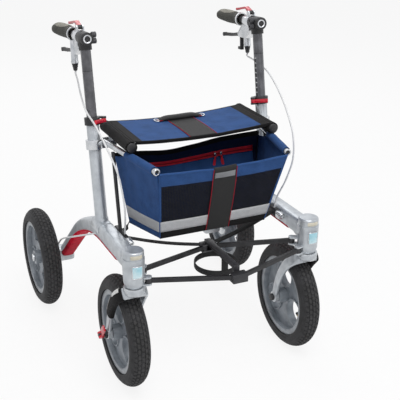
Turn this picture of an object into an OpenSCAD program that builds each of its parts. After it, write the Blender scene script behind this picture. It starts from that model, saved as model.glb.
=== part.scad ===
// All-terrain walking frame on four air-filled wheels, in millimetres, floor at Z = 0

/* [Stance] */
// Distance between the front and rear axles
wheelbase = 548; // [525:1:575]
// Half the distance between the two side frames
frame_x = 256; // [246:1:268]
// Half the distance between the rear wheels
rear_x = 334; // [332:1:348]
// Distance the caster axle sits behind its head axis
trail = 98; // [90:1:106]

/* [Wheels] */
// Outer diameter of each tyre
wheel_d = 312; // [304:1:318]
// Width of each tyre
tyre_w = 57; // [54:0.5:60]
// Thickness of the tyre wall
tyre_wall = 5; // [4:0.5:6]
// Outer diameter of the rim flange
rim_d = 236; // [230:1:240]
// Width across the rim flanges
rim_w = 44; // [42:0.5:45]
// Number of blades in the wheel disc
blade_count = 3; // [3:1:5]
// Diameter of each opening in the wheel disc
opening_d = 76; // [62:1:80]
// Diameter of the wheel hub
hub_d = 44; // [40:1:48]
// Diameter of the axles
axle_d = 12; // [10:0.5:13]

/* [Side frames] */
// Height of the level part of the beam
beam_z = 402; // [396:1:406]
// Slope of the rear leg of the beam in degrees
beam_turn = 40; // [38.5:0.5:42]
// Width of the beam
beam_w = 40; // [36:1:42]
// Depth of the beam
beam_h = 42; // [38:1:44]
// Wall of the beam tube
beam_wall = 3; // [2.5:0.5:5]
// Diameter of the upright tube
upright_d = 34; // [33:0.5:36]
// Rearward lean of the upright in degrees
lean = 9.2; // [7:0.2:11]
// Length of the upright from the beam centre line
upright_len = 288; // [280:1:296]

/* [Casters] */
// Widest diameter of the head casting
head_d = 59; // [56:0.5:61]
// Thickness of the fork arms across the width
arm_d = 13; // [12:0.5:14]
// Depth of the fork arms halfway down
arm_deep = 31; // [28:0.5:34]
// Bend of the fork arms in degrees
fork_sweep = 47; // [42:1:52]

/* [Handles] */
// Diameter of the height tube
handle_d = 28; // [26:0.5:29]
// Length from the beam centre line to the handlebar
handle_len = 518; // [505:1:530]
// Rearward drop of the handlebar in degrees
bar_drop = 4; // [2:0.5:6]
// Diameter of the handlebar
bar_d = 22; // [20:0.5:24]
// Length of each grip
grip_len = 137; // [127:1:147]

/* [Seat and basket] */
// Half the distance between the seat rails
rail_x = 206; // [202:1:210]
// Height of the seat rails
rail_z = 664; // [659:1:669]
// Length of the seat rails
rail_len = 210; // [200:1:216]
// Sag of the seat sling
seat_sag = 7; // [5:1:17]
// Height of the basket bottom
basket_z = 424; // [420:1:435]
// Thickness of the basket cloth
cloth_t = 3; // [2:0.5:4]

/* [Fold linkage] */
// Angle of the links to the width when open in degrees
link_angle = 20; // [17:0.5:22]
// Depth of the link bars
link_h = 14; // [12:0.5:15]
// Thickness of the link bars
link_t = 9; // [7:0.5:10]

/* [Hidden] */
$fn = 48;
fine = 64;
eps = 0.5;
touch = 0.1;
run = 0.05;
gap = 0.3;
wheel_r = wheel_d / 2;
rim_r = rim_d / 2;
axle_r = axle_d / 2;
pin_r = 4;
link_inset = 1;
eye_r = 9;
plate_t = 4.7;

// Linkage set-out
pivot_in = 36;
block_half = 12;
block_front = 15;
block_web = 5.5;
pivot_x = frame_x - pivot_in;
link_span = pivot_x - block_half;
link_len = link_span / cos(link_angle);
link_drop = link_span * tan(link_angle);
rear_pivot_set = 25;
front_pivot_set = -10;

// Where things stand along the length, centred on the overall length
front_reach = trail - front_pivot_set + link_drop + block_front;
front_y = -(wheelbase + wheel_r - front_reach) / 2;
rear_y = front_y + wheelbase;
head_y = front_y - trail;
upright_set = 245;
upright_y = head_y + upright_set;
flat_set = 192;
flat_y = head_y + flat_set;
axle_z = wheel_r;

// Beam
beam_soft = 11;
beam_lap = 12;
beam_step = 1.5;
front_step = 3;
leg_step = 3;
beam_rise = beam_z - axle_z;
beam_run_y = rear_y - flat_y;
beam_r = (beam_run_y * tan(beam_turn) - beam_rise) / (1 / cos(beam_turn) - 1);
arc_y = flat_y + beam_r * sin(beam_turn);
arc_z = beam_z - beam_r * (1 - cos(beam_turn));
leg_len = (rear_y - arc_y) / cos(beam_turn);
lap_turn = asin(beam_lap / beam_r);
leg_hollow_share = 0.75;
block_in = 24;
block_out = 35;
block_y = 24;
block_h = 21;
gusset_w = 26;
gusset_len = 74;
gusset_drop = 20;
inlay_t = 2.2;
inlay_up = 6;
inlay_leg_share = 0.84;
inlay_turn = asin((beam_lap + inlay_t) / beam_r);

// Head casting
head_low = 338;
head_top = 418;
head_r = head_d / 2;
head_foot_r = 23;
head_neck_r = 27.5;
head_foot = 14;
head_bore_r = 17;
bore_room = 1;
bearing_r = 20;
bearing_h = 12;
bearing_set = 2;
steerer_r = 12.7;
steerer_head_r = 16;
cap_h = 22;
cap_r = 28;
cap_soft = 6;
cap_wall = 4;
cap_window_w = 32;
cap_window_h = 11;
cap_window_low = 4;
cap_window_soft = 3;
rear_link_z = 366;
front_link_z = 350;
centre_z = 356;

// Fork and front axle
crown_top = 336;
crown_h = 24;
crown_d = 40;
arm_x = 41;
arm_start_z = 320;
lug_r = 16;
lug_w = 14;
hub_gap = 0.5;
chord_y = trail;
chord_z = arm_start_z - axle_z;
chord_len = sqrt(chord_y * chord_y + chord_z * chord_z);
chord_a = atan2(chord_z, chord_y);
fork_a = chord_a - fork_sweep / 2;
fork_r = chord_len / (2 * sin(fork_sweep / 2));
fork_cy = head_y - fork_r * sin(fork_a);
fork_cz = arm_start_z - fork_r * cos(fork_a);
fork_mid = fork_a + fork_sweep / 2;
arm_taper = 10;
shoulder_r = 33;
arch_r = 28;
crown_skirt = 14;
crown_ring_r = 27;
guard_t = 3;
guard_len = 92;
guard_mid_share = 0.4;
nut_r = 13;
nut_small_r = 10;
nut_w = 7;
hinge_set = 9;
tongue_end = 7;
tongue_t = 6;
tongue_h = 12;
cheek_t = 5;
cheek_r = 8;
lever_pin_r = 3;
lever_len = 48;
lever_lean = 40;
lever_t = 5;
lever_foot = 9.5;

// Wheel
tyre_r = tyre_w / 2;
tyre_mid = wheel_r - tyre_r;
rim_deep = 12;
rim_bed_r = rim_r - rim_deep;
rim_wall = 4;
bead_w = 4;
shoulder_h = 4;
bead_foot_share = 2.5;
web_t = 14;
rim_land = 7;
hub_land = 7;
opening_at = 66;
lip_w = 4;
lip_h = 4;
axle_room = 2;
race_r = 13;
race_w = 9;
front_hub = arm_x - lug_w / 2 - hub_gap;
rear_hub = 24;
drum_r = 46;
drum_wall = 6;
drum_deep = 34;
valve_r = 3.5;
valve_len = 27;
tread_n = 3;
tread_w = 3;
tread_deep = 2;
tread_pitch = 12;

// Rear axle
plate_gap = 1;
plate_r = drum_r - drum_wall - plate_gap;
brake_plate_t = 4;
stub_in = 44;
spacer_r = 11;
hubcap_r = 12;
hubcap_w = 6;

// Upright and collar
upright_wall = 2.9;
saddle_t = 3;
saddle_len = 64;
saddle_r = 19;
saddle_h = 8;
collar_r = 21;
collar_h = 20;
collar_turn = 54;
ear_x = 25;
ear_y = 19;
ear_r = 7;
ear_t = 4.5;
clip_r = 6.5;
clip_len = 40;
clip_t = 4.5;
clip_room = 1;
clip_bead_share = 0.8;

// Handle
insert = 112;
handle_wall = 2;
socket_r = 17.5;
socket_len = 31;
head_bar_r = 17.5;
head_half = 26;
tube_stop = 12;
grip_start = 104;
grip_r = 17;
grip_swell_share = 1.22;
grip_curve_share = 1.05;
grip_wing_shares = [0.62, 1.24, 0.4];
grip_wing_w = 46;
grip_wing_t = 11;
grip_wing_share = 0.55;
perch_r = 17;
perch_start = 29;
perch_len = 34;
perch_w = 22;
perch_low = 50;
perch_front_share = 0.5;
lever_y = 97;
lever_z = -42;
lever_eye_r = 8;
lever_room = 1;
lever_w = 11;
lever_reach = 116;
lever_fall = 14;
lever_thick = 9;
lever_mid_share = 0.5;
lever_mid_fall_share = 0.35;
lever_root_shares = [0.2, 0.6, 0.7];
lever_tip_shares = [0.3, 0.65];
lever_step = 1;
hook_t = 8;
hook_drop = 47;
hook_foot = 17;
hook_root = 2;
park_y = 36;
park_z = 25;
park_eye_r = 6;
park_w = 12;
park_ear_t = 4.5;
park_thick = 6;
park_rise_y = 26;
park_rise_z = 15;
park_tip_y = 82;
park_tip_z = 3;
park_root_shares = [0.5, 0.6];
housing_r = 9.5;
housing_y = 77;
housing_out = 8;
housing_top = -13;
housing_len = 63;
collar_lip = 1.2;
collar_lip_h = 5;
boot_r = 8;
boot_end_r = 4;
boot_len = 21;
cable_gap = 1.2;
cable_lead = 8;

// Seat and basket
rail_d = 25;
rail_wall = 2.5;
rail_set = 126;
sleeve_r = 16.5;
sling_in_share = 0.6;
seat_t = 4;
seat_lift = 11;
seat_margin = 4;
mast_drop = 53;
mast_low = 30;
mast_t = min(upright_len - mast_drop, (rail_z - mast_low - beam_z) / cos(lean));
mast_y = upright_y + mast_t * sin(lean);
mast_z = beam_z + mast_t * cos(lean);
ring_r = 23;
ring_h = 26;
arm_half = 13;
arm_h = 22;
post_r = 9;
rod_d = 16;
rod_rear_out = 24;
rod_rear_set = 272;
rod_rear_drop = 24;
rod_front_in = 20;
rod_front_set = 8;
rod_front_drop = 30;
rod_lap = 2;
rod_rear = [rail_x + rod_rear_out, head_y + rod_rear_set, rail_z - rod_rear_drop];
rod_front = [rail_x - rod_front_in, head_y + rod_front_set, rail_z - rod_front_drop];
bag_front_low_in = 51;
bag_front_low_set = 69;
bag_rear_low_in = 14;
bag_rear_low_set = 197;
bag_front_top_in = 25;
bag_front_top_set = -1;
bag_rear_top_out = 12;
bag_rear_top_set = 230;
bag_drop = 36;
basket_front_low = [rail_x - bag_front_low_in, head_y + bag_front_low_set];
basket_rear_low = [rail_x - bag_rear_low_in, head_y + bag_rear_low_set];
basket_front_top = [rail_x - bag_front_top_in, head_y + bag_front_top_set];
basket_rear_top = [rail_x + bag_rear_top_out, head_y + bag_rear_top_set];
basket_top = rail_z - bag_drop;
basket_floor = 4;
hem_from_share = 0.56;
hem_to_share = 0.97;
hem_r = 12;

// Straps and stays
pad_t = 14;
pad_x = frame_x - beam_w / 2 - beam_step - pad_t - touch;
pad_from = 122;
pad_to = 207;
pad_h = 24;
pad_r = 5;
stay_d = 10;
stay_in = 28;
stay_x = frame_x - stay_in;
stay_low_set = 172;
stay_top_set = 212;
stay_room = 1.4;
stay_low_y = head_y + stay_low_set;
stay_top_y = head_y + stay_top_set;
strap_w = 20;
strap_t = 2;
strap_lift = 4;
strap_set = 2.5;
loop_r = 58;
loop_y = head_y + 52;
loop_h = 17;
loop_low = 318;
loop_t = 3;
spine_w = 16;
spine_h = 10;
stop_t = 8;
stop_h = 30;

// Brake cables: points out from the frame, back from the head and up from the beam
cable_d = 5;
cable_sides = 8;
left_cable = [[10, 376, 388], [14, 340, 356], [17, 290, 325], [10, 233, 297], [-2, 175, 246],
  [-16, 136, 183], [-24, 121, 98]];
right_cable = [[11, 372, 396], [17, 334, 388], [19, 281, 372], [12, 211, 341], [4, 146, 298],
  [0, 101, 243], [-4, 89, 178], [-12, 111, 108], [-22, 137, 53]];
rear_cable = [[25, 290, -34], [34, 411, -89], [40, 521, -140], [41, 571, -177]];
cable_start_y = 239;
cable_start_z = -11;
cable_foot = 140;
cable_end_y = 12;
cable_end_z = 16;

silver = [0.77, 0.79, 0.81];
black = [0.13, 0.13, 0.14];
grey = [0.36, 0.38, 0.4];
dark = [0.32, 0.32, 0.34];
red = [0.8, 0.08, 0.16];
blue = [0.2, 0.32, 0.56];

// Puts a right-hand part on either side
module side(s) {
  if (s > 0) children();
  else mirror([1, 0, 0]) children();
}

// Rectangle with round corners
module soft_rect(w, h, r) {
  square([w - 2 * r, h], center = true);
  square([w, h - 2 * r], center = true);
  for (sx = [-1, 1], sy = [-1, 1])
    translate([sx * (w / 2 - r), sy * (h / 2 - r)])
      circle(r, $fn = 32);
}

// Turns a part's own Z to run from one point to another
module along(a, b) {
  v = b - a;
  translate(a)
    rotate([0, acos(v[2] / norm(v)), atan2(v[1], v[0])])
      children();
}

module rod(a, b, d) {
  along(a, b) cylinder(d = d, h = norm(b - a));
}

// A round bar across the width
module cross_bar(x0, x1, r) {
  translate([x0, 0, 0]) rotate([0, 90, 0]) cylinder(r = r, h = x1 - x0);
}

// Local place on the upright axis and on the handlebar axis
module on_upright(t) {
  translate([frame_x, upright_y, beam_z]) rotate([-lean, 0, 0]) translate([0, 0, t]) children();
}

bar_y = upright_y + handle_len * sin(lean);
bar_z = beam_z + handle_len * cos(lean);
module on_bar() {
  translate([frame_x, bar_y, bar_z]) rotate([-bar_drop, 0, 0]) children();
}

// A profile drawn along the handlebar and given a width
module bar_plate(w) {
  rotate([90, 0, 90]) translate([0, 0, -w / 2]) linear_extrude(w) children();
}

// A round bar along the handlebar
module bar_round(y0, y1, r) {
  translate([0, y0, 0]) rotate([-90, 0, 0]) cylinder(r = r, h = y1 - y0);
}

// The beam's path: a deep level part, the arch, then a slimmer leg down to the axle
module beam_path(grow, leg) {
  translate([frame_x, flat_y + beam_lap, beam_z])
    rotate([90, 0, 0]) linear_extrude(flat_set + beam_lap)
      soft_rect(beam_w + 2 * (beam_step + grow), beam_h + 2 * (front_step + grow), beam_soft + beam_step + grow);
  beam_arch(grow);
  translate([frame_x, arc_y, arc_z])
    rotate([-beam_turn - 90, 0, 0]) translate([0, 0, -beam_lap]) linear_extrude(leg + beam_lap)
      soft_rect(beam_w - 2 * (beam_step - grow), beam_h - 2 * (leg_step - grow), beam_soft - beam_step + grow);
}

module beam_arch(grow) {
  translate([frame_x, flat_y, beam_z - beam_r])
    rotate([0, -90, 0]) rotate([0, 0, -lap_turn]) rotate_extrude(angle = beam_turn + lap_turn, $fn = fine)
      translate([beam_r, 0]) soft_rect(beam_h + 2 * grow, beam_w + 2 * grow, beam_soft + grow);
}

module head_profile(grow) {
  polygon([[0, head_low], [head_foot_r + grow, head_low], [head_neck_r + grow, head_low + head_foot],
    [head_r + grow, head_top], [0, head_top]]);
}

module beam() {
  difference() {
    union() {
      beam_path(0, leg_len);
      translate([frame_x - block_in, rear_y - block_y, axle_z - block_h])
        cube([block_in + block_out, 2 * block_y, 2 * block_h]);
      translate([frame_x - gusset_w / 2, head_y, beam_z - beam_h / 2])
        rotate([90, 0, 90]) linear_extrude(gusset_w)
          polygon([[0, beam_h / 2], [0, -gusset_drop], [head_r + saddle_t, -gusset_drop],
            [gusset_len, -front_step], [gusset_len, beam_h / 2]]);
    }
    beam_path(-beam_wall, leg_len * leg_hollow_share);
    translate([frame_x, head_y, 0]) rotate_extrude($fn = fine) head_profile(touch);
    translate([frame_x, head_y, head_top - eps]) cylinder(r = head_r + touch, h = cap_h, $fn = fine);
    translate([0, rear_y, axle_z])
      cross_bar(frame_x + block_out - stub_in - eps, frame_x + block_out + eps, axle_r + run);
  }
}

// Cross-section of the inlay: a strip round the underside of a beam of this size
module inlay_strip(w, h, r) {
  wrap = inlay_t + touch;
  difference() {
    soft_rect(w + 2 * wrap, h + 2 * wrap, r + wrap);
    soft_rect(w + 2 * touch, h + 2 * touch, r + touch);
    translate([-w, inlay_up - h / 2]) square([2 * w, 2 * h]);
  }
}

module beam_inlay() {
  translate([frame_x, flat_y + beam_lap, beam_z])
    rotate([90, 0, 0]) linear_extrude(flat_set + beam_lap - gusset_len - touch)
      inlay_strip(beam_w + 2 * beam_step, beam_h + 2 * front_step, beam_soft + beam_step);
  translate([frame_x, flat_y, beam_z - beam_r])
    rotate([0, -90, 0]) rotate([0, 0, inlay_turn]) rotate_extrude(angle = beam_turn - inlay_turn, $fn = fine)
      translate([beam_r, 0]) rotate(-90) inlay_strip(beam_w, beam_h, beam_soft);
  translate([frame_x, arc_y, arc_z])
    rotate([-beam_turn - 90, 0, 0]) translate([0, 0, touch]) linear_extrude(leg_len * inlay_leg_share)
      rotate(180) inlay_strip(beam_w - 2 * beam_step, beam_h - 2 * leg_step, beam_soft - beam_step);
}

// Two plates and a pin that hold a link's eye against the head casting
module head_lug(set, z) {
  reach = sqrt(pivot_in * pivot_in + set * set);
  turn = atan2(set, -pivot_in);
  for (k = [-1, 1])
    translate([frame_x, head_y, z + k * (link_h / 2 + gap + plate_t / 2)])
      rotate([0, 0, turn]) {
        translate([0, -eye_r, -plate_t / 2]) cube([reach, 2 * eye_r, plate_t]);
        translate([reach, 0, -plate_t / 2]) cylinder(r = eye_r, h = plate_t);
      }
  translate([pivot_x, head_y + set, z - link_h / 2 - gap - eps])
    cylinder(r = pin_r, h = link_h + 2 * gap + 2 * eps);
}

module head() {
  difference() {
    union() {
      translate([frame_x, head_y, 0]) rotate_extrude($fn = fine) head_profile(0);
      head_lug(rear_pivot_set, rear_link_z);
      head_lug(front_pivot_set, front_link_z);
    }
    translate([frame_x, head_y, head_low - eps]) cylinder(r = head_bore_r, h = head_top - head_low + 2 * eps);
    for (z = [head_low - eps, head_top - bearing_set - bearing_h])
      translate([frame_x, head_y, z]) cylinder(r = bearing_r, h = bearing_h + bearing_set + eps);
  }
  for (z = [head_low + bearing_set, head_top - bearing_set - bearing_h + touch])
    translate([frame_x, head_y, z]) difference() {
      cylinder(r = bearing_r - run, h = bearing_h - touch);
      translate([0, 0, -eps]) cylinder(r = steerer_r + run, h = bearing_h + 2 * eps);
    }
}

module head_cap() {
  difference() {
    cap_shell();
    translate([frame_x, head_y, head_top + cap_window_low + cap_window_h / 2])
      rotate([90, 0, 0]) linear_extrude(2 * cap_r)
        soft_rect(cap_window_w, cap_window_h, cap_window_soft);
  }
}

module cap_shell() {
  translate([frame_x, head_y, head_top])
    rotate_extrude($fn = fine) difference() {
      union() {
        square([cap_r, cap_h - cap_soft]);
        square([cap_r - cap_soft, cap_h]);
        translate([cap_r - cap_soft, cap_h - cap_soft]) circle(cap_soft);
      }
      square([steerer_head_r + cap_wall, cap_h - cap_wall - cap_soft / 2]);
      translate([-cap_r, -cap_soft]) square([cap_r, cap_h + 2 * cap_soft]);
      translate([-cap_r, -cap_soft]) square([3 * cap_r, cap_soft]);
    }
}

module upright() {
  difference() {
    union() {
      on_upright(0) cylinder(d = upright_d, h = upright_len);
      on_upright(0) cylinder(r = saddle_r, h = beam_h / 2 + saddle_h);
      translate([frame_x, upright_y + saddle_len / 2, beam_z])
        rotate([90, 0, 0]) linear_extrude(saddle_len)
          intersection() {
            soft_rect(beam_w + 2 * saddle_t, beam_h + 2 * saddle_t, beam_soft + saddle_t);
            translate([-beam_w, 0]) square([2 * beam_w, beam_h]);
          }
    }
    beam_arch(touch);
    on_upright(beam_h / 2 + saddle_t) cylinder(d = handle_d + 2 * run, h = upright_len);
  }
}

module collar() {
  on_upright(upright_len) rotate(collar_turn) difference() {
    union() {
      cylinder(r = collar_r, h = collar_h);
      for (z = [0, collar_h - ear_t])
        translate([0, 0, z]) {
          translate([-ear_x, ear_y, 0]) cylinder(r = ear_r, h = ear_t);
          translate([-ear_x, ear_y - ear_r, 0]) cube([ear_x, 2 * ear_r, ear_t]);
        }
      translate([-ear_x, ear_y, ear_t - eps]) cylinder(r = lever_pin_r, h = collar_h - 2 * ear_t + 2 * eps);
    }
    translate([0, 0, -eps]) cylinder(d = handle_d + 2 * run, h = collar_h + 2 * eps);
    difference() {
      translate([-ear_x - clip_r - clip_room, ear_y - clip_r - clip_room, ear_t])
        cube([2 * (clip_r + clip_room), 2 * (clip_r + clip_room), collar_h - 2 * ear_t]);
      translate([-ear_x, ear_y, 0]) cylinder(r = lever_pin_r, h = collar_h);
    }
  }
}

module collar_lever() {
  h = collar_h - 2 * ear_t - 2 * gap;
  on_upright(upright_len + ear_t + gap) rotate(collar_turn) difference() {
    union() {
      translate([-ear_x, ear_y, 0]) cylinder(r = clip_r, h = h);
      translate([-ear_x - clip_t, ear_y - clip_len, 0]) cube([clip_t, clip_len, h]);
      translate([-ear_x - clip_t / 2, ear_y - clip_len, 0]) cylinder(r = clip_t * clip_bead_share, h = h);
    }
    translate([-ear_x, ear_y, -eps]) cylinder(r = lever_pin_r + run, h = h + 2 * eps);
  }
}

// Seat rail with its bracket on the upright and the basket rod
module seat_rail() {
  pillar_y = min(mast_y - arm_half, rod_rear[1] - rod_lap);
  difference() {
    union() {
      translate([rail_x, head_y + rail_set, rail_z]) rotate([-90, 0, 0]) cylinder(d = rail_d, h = rail_len);
      on_upright(mast_t - ring_h / 2) cylinder(r = ring_r, h = ring_h);
      translate([rail_x - post_r, mast_y - arm_half, mast_z - arm_h / 2])
        cube([frame_x - rail_x + post_r, 2 * arm_half, arm_h]);
      translate([rail_x, mast_y, mast_z]) cylinder(r = post_r, h = rail_z - mast_z);
      translate([rod_rear[0] - rod_d / 2, pillar_y, min(mast_z, rod_rear[2])])
        cube([rod_d, mast_y + arm_half - pillar_y, abs(rod_rear[2] - mast_z)]);
      rod(rod_rear, rod_front, rod_d);
    }
    translate([rail_x, head_y + rail_set - eps, rail_z])
      rotate([-90, 0, 0]) cylinder(d = rail_d - 2 * rail_wall, h = rail_len + 2 * eps);
    on_upright(mast_t - ring_h) cylinder(d = upright_d + 2 * touch, h = 2 * ring_h);
  }
}

// Strap pad on the inside of the beam with the stay rod standing on it
module stay() {
  translate([pad_x, head_y + pad_to, beam_z + pad_r])
    rotate([90, 0, 0]) linear_extrude(pad_to - pad_from)
      translate([pad_t / 2, 0]) soft_rect(pad_t, pad_h, pad_r);
  rod([stay_x, stay_low_y, beam_z + pad_r], [stay_x, stay_top_y, stay_end_z], stay_d);
}
rod_slope = (rod_rear[2] - rod_front[2]) / (rod_rear[1] - rod_front[1]);
stay_end_z = rod_front[2] + rod_slope * (stay_top_y - rod_front[1]) - rod_d / 2 - stay_room;

module tyre(x, y) {
  translate([x, y, axle_z]) rotate([0, 90, 0]) rotate_extrude($fn = 96) {
    difference() {
      translate([tyre_mid, 0]) circle(tyre_r, $fn = fine);
      translate([tyre_mid, 0]) circle(tyre_r - tyre_wall, $fn = fine);
      translate([0, -tyre_w]) square([rim_r + touch, 2 * tyre_w]);
      for (k = [-1, 1])
        translate([wheel_r - tread_deep, k * tread_pitch - tread_w / 2]) square([tyre_wall, tread_w]);
      translate([wheel_r - tread_deep, -tread_w / 2]) square([tyre_wall, tread_w]);
    }
    for (k = [-1, 1])
      translate([0, k * (rim_w / 2 - rim_wall - touch - bead_w / 2)]) {
        translate([rim_bed_r + touch, -bead_w / 2]) square([rim_deep + shoulder_h, bead_w]);
        translate([rim_r + touch, k > 0 ? -bead_w / 2 : -bead_w - bead_w])
          square([shoulder_h, bead_foot_share * bead_w]);
      }
  }
}

// One opening of the wheel disc, kept clear of the hub and the rim
module opening(drum, grow) {
  intersection() {
    translate([opening_at, 0]) circle(opening_d / 2 + grow, $fn = fine);
    difference() {
      circle(rim_bed_r - rim_wall - rim_land + grow, $fn = 96);
      circle((drum ? drum_r : hub_d / 2) + hub_land - grow, $fn = fine);
    }
  }
}

// The openings all round, one of them at the top of the wheel
module openings(drum, grow) {
  for (i = [0 : blade_count - 1])
    rotate(180 + i * 360 / blade_count) opening(drum, grow);
}

module rim(x, y, half, drum) {
  translate([x, y, axle_z]) rotate([0, 90, 0]) {
    difference() {
      union() {
        rotate_extrude($fn = 96) {
          translate([rim_bed_r - rim_wall, -rim_w / 2]) square([rim_wall, rim_w]);
          for (k = [-1, 1])
            translate([rim_bed_r - rim_wall, k > 0 ? rim_w / 2 - rim_wall : -rim_w / 2])
              square([rim_deep + rim_wall, rim_wall]);
        }
        translate([0, 0, -web_t / 2]) cylinder(r = rim_bed_r - rim_wall / 2, h = web_t, $fn = 96);
        translate([0, 0, -web_t / 2 - lip_h]) linear_extrude(web_t + 2 * lip_h) openings(drum, lip_w);
        translate([0, 0, -half]) cylinder(d = hub_d, h = 2 * half);
        if (drum) translate([0, 0, -drum_deep]) cylinder(r = drum_r, h = drum_deep, $fn = fine);
      }
      translate([0, 0, -web_t]) linear_extrude(2 * web_t) openings(drum, 0);
      if (drum) translate([0, 0, -drum_deep - eps]) difference() {
        cylinder(r = drum_r - drum_wall, h = drum_deep - web_t / 2 + eps, $fn = fine);
        translate([0, 0, drum_deep - half + eps]) cylinder(d = hub_d, h = drum_deep);
      }
      translate([0, 0, -half - eps]) cylinder(r = axle_r + axle_room, h = 2 * half + 2 * eps);
      for (z = [-half - eps, half - race_w])
        translate([0, 0, z]) cylinder(r = race_r, h = race_w + eps);
    }
    for (z = [-half, half - race_w + touch])
      translate([0, 0, z]) difference() {
        cylinder(r = race_r - run, h = race_w - touch);
        translate([0, 0, -eps]) cylinder(r = axle_r + run, h = race_w + 2 * eps);
      }
    rotate([0, 0, 180 + 360 / blade_count]) translate([rim_bed_r - rim_wall - valve_len, 0, 0])
      rotate([0, 90, 0]) cylinder(r = valve_r, h = valve_len + rim_wall / 2, $fn = 24);
  }
}

module rear_axle() {
  translate([0, rear_y, axle_z]) {
    cross_bar(frame_x + block_out - stub_in, rear_x + rear_hub + hubcap_w, axle_r);
    cross_bar(frame_x + block_out + touch, rear_x - rear_hub - gap, spacer_r);
    cross_bar(rear_x - drum_deep, rear_x - drum_deep + brake_plate_t, plate_r);
    cross_bar(rear_x + rear_hub + gap, rear_x + rear_hub + hubcap_w, hubcap_r);
  }
}

// A profile drawn in the side view and given a width
module side_plate(x0, x1) {
  translate([x0, 0, 0]) rotate([90, 0, 90]) linear_extrude(x1 - x0) children();
}

// Side view of the fork: crown over two crescent arms that slim down to the axle
module fork_side(grow) {
  lean_y = arm_taper * cos(fork_mid);
  lean_z = arm_taper * sin(fork_mid);
  translate([head_y - crown_d / 2 - grow, crown_top - crown_h - crown_skirt - grow])
    square([crown_d + 2 * grow, crown_h + crown_skirt + grow]);
  intersection() {
    difference() {
      translate([fork_cy - lean_y, fork_cz + lean_z]) circle(fork_r + arm_deep / 2 + grow, $fn = 128);
      translate([fork_cy + lean_y, fork_cz - lean_z]) circle(fork_r - arm_deep / 2 - grow, $fn = 128);
    }
    translate([head_y - crown_d / 2, axle_z]) square([trail + crown_d, crown_top - axle_z]);
  }
  translate([front_y, axle_z]) circle(lug_r + grow);
}

// Front view of the fork: a round-shouldered arch over the tyre
module fork_front(grow) {
  tall = crown_top - axle_z + 2 * lug_r;
  bay = crown_top - crown_h - axle_z + 4 * lug_r;
  difference() {
    translate([0, crown_top - tall / 2]) soft_rect(2 * arm_x + arm_d + 2 * grow, tall, shoulder_r + grow);
    translate([0, crown_top - crown_h - bay / 2]) soft_rect(2 * arm_x - arm_d - 2 * grow, bay, arch_r - grow);
  }
}

module fork_shell(grow) {
  intersection() {
    side_plate(frame_x - 2 * arm_x, frame_x + 2 * arm_x) fork_side(grow);
    translate([frame_x, front_y + 2 * lug_r, 0]) rotate([90, 0, 0])
      linear_extrude(trail + crown_d + 4 * lug_r) fork_front(grow);
  }
}

module fork() {
  difference() {
    union() {
      fork_shell(0);
      translate([frame_x, head_y, crown_top - crown_h]) cylinder(r = crown_ring_r, h = crown_h, $fn = fine);
      translate([frame_x, head_y, crown_top - eps]) cylinder(r = steerer_r, h = head_top - crown_top);
      translate([frame_x, head_y, head_top - bearing_set + gap])
        cylinder(r = steerer_head_r, h = bearing_set);
      translate([frame_x, head_y, crown_top - eps])
        cylinder(r = head_bore_r - bore_room, h = head_low - crown_top + eps);
      for (k = [-1, 1])
        translate([0, front_y, axle_z])
          cross_bar(frame_x + k * arm_x - lug_w / 2, frame_x + k * arm_x + lug_w / 2, lug_r);
    }
    translate([0, front_y, axle_z]) cross_bar(frame_x - 2 * arm_x, frame_x + 2 * arm_x, axle_r + run);
  }
}

// Guard sleeve round the middle of the outer arm
module fork_guard() {
  wall = arm_d / 2 + guard_t;
  difference() {
    side_plate(frame_x + arm_x - wall, frame_x + arm_x + wall) intersection() {
      fork_side(guard_t);
      translate([fork_cy, fork_cz]) rotate(-fork_a - fork_sweep * guard_mid_share)
        translate([-guard_len / 2, fork_r - arm_deep]) square([guard_len, 2 * arm_deep]);
    }
    fork_shell(touch);
  }
}

nut_x = arm_x + lug_w / 2 + touch;
hinge_x = frame_x + nut_x + nut_w + hinge_set;
module front_axle() {
  difference() {
    translate([0, front_y, axle_z]) {
      cross_bar(frame_x - nut_x - nut_w, frame_x + nut_x + nut_w, axle_r);
      cross_bar(frame_x - nut_x - nut_w, frame_x - nut_x, nut_small_r);
      cross_bar(frame_x + nut_x, frame_x + nut_x + nut_w, nut_r);
      rotate([lever_lean, 0, 0]) translate([hinge_x - hinge_set - eps, -tongue_t / 2, -tongue_h / 2])
        cube([hinge_set + tongue_end + eps, tongue_t, tongue_h]);
    }
    translate([hinge_x, front_y, axle_z]) rotate([lever_lean, 0, 0])
      bar_round(-nut_r, nut_r, lever_pin_r + run);
  }
}

module axle_lever() {
  cheek_y = tongue_t / 2 + gap;
  translate([hinge_x, front_y, axle_z]) rotate([lever_lean, 0, 0]) {
    for (k = [-1, 1])
      translate([0, k > 0 ? cheek_y + cheek_t : -cheek_y, 0]) rotate([90, 0, 0]) {
        cylinder(r = cheek_r, h = cheek_t);
        translate([-lever_t / 2, 0, 0]) cube([lever_t, lever_foot + eps, cheek_t]);
      }
    rotate([90, 0, 0]) translate([0, 0, -cheek_y - eps]) cylinder(r = lever_pin_r, h = 2 * cheek_y + 2 * eps);
    translate([-lever_t / 2, -cheek_y - cheek_t, lever_foot])
      cube([lever_t, 2 * (cheek_y + cheek_t), lever_len - lever_foot]);
  }
}

module handle_tube() {
  on_upright(upright_len - insert) difference() {
    cylinder(d = handle_d, h = handle_len - upright_len + insert - tube_stop);
    translate([0, 0, -eps])
      cylinder(d = handle_d - 2 * handle_wall, h = handle_len - upright_len + insert + 2 * eps);
  }
}

module handle_head() {
  difference() {
    union() {
      on_upright(handle_len - socket_len) cylinder(r = socket_r, h = socket_len);
      on_bar() bar_round(-head_half, head_half, head_bar_r);
      on_bar() bar_round(0, grip_start + grip_len - 2 * cap_wall, bar_d / 2);
    }
    on_upright(handle_len - socket_len - eps)
      cylinder(d = handle_d + 2 * touch, h = socket_len - tube_stop + eps + touch);
  }
}

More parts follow.
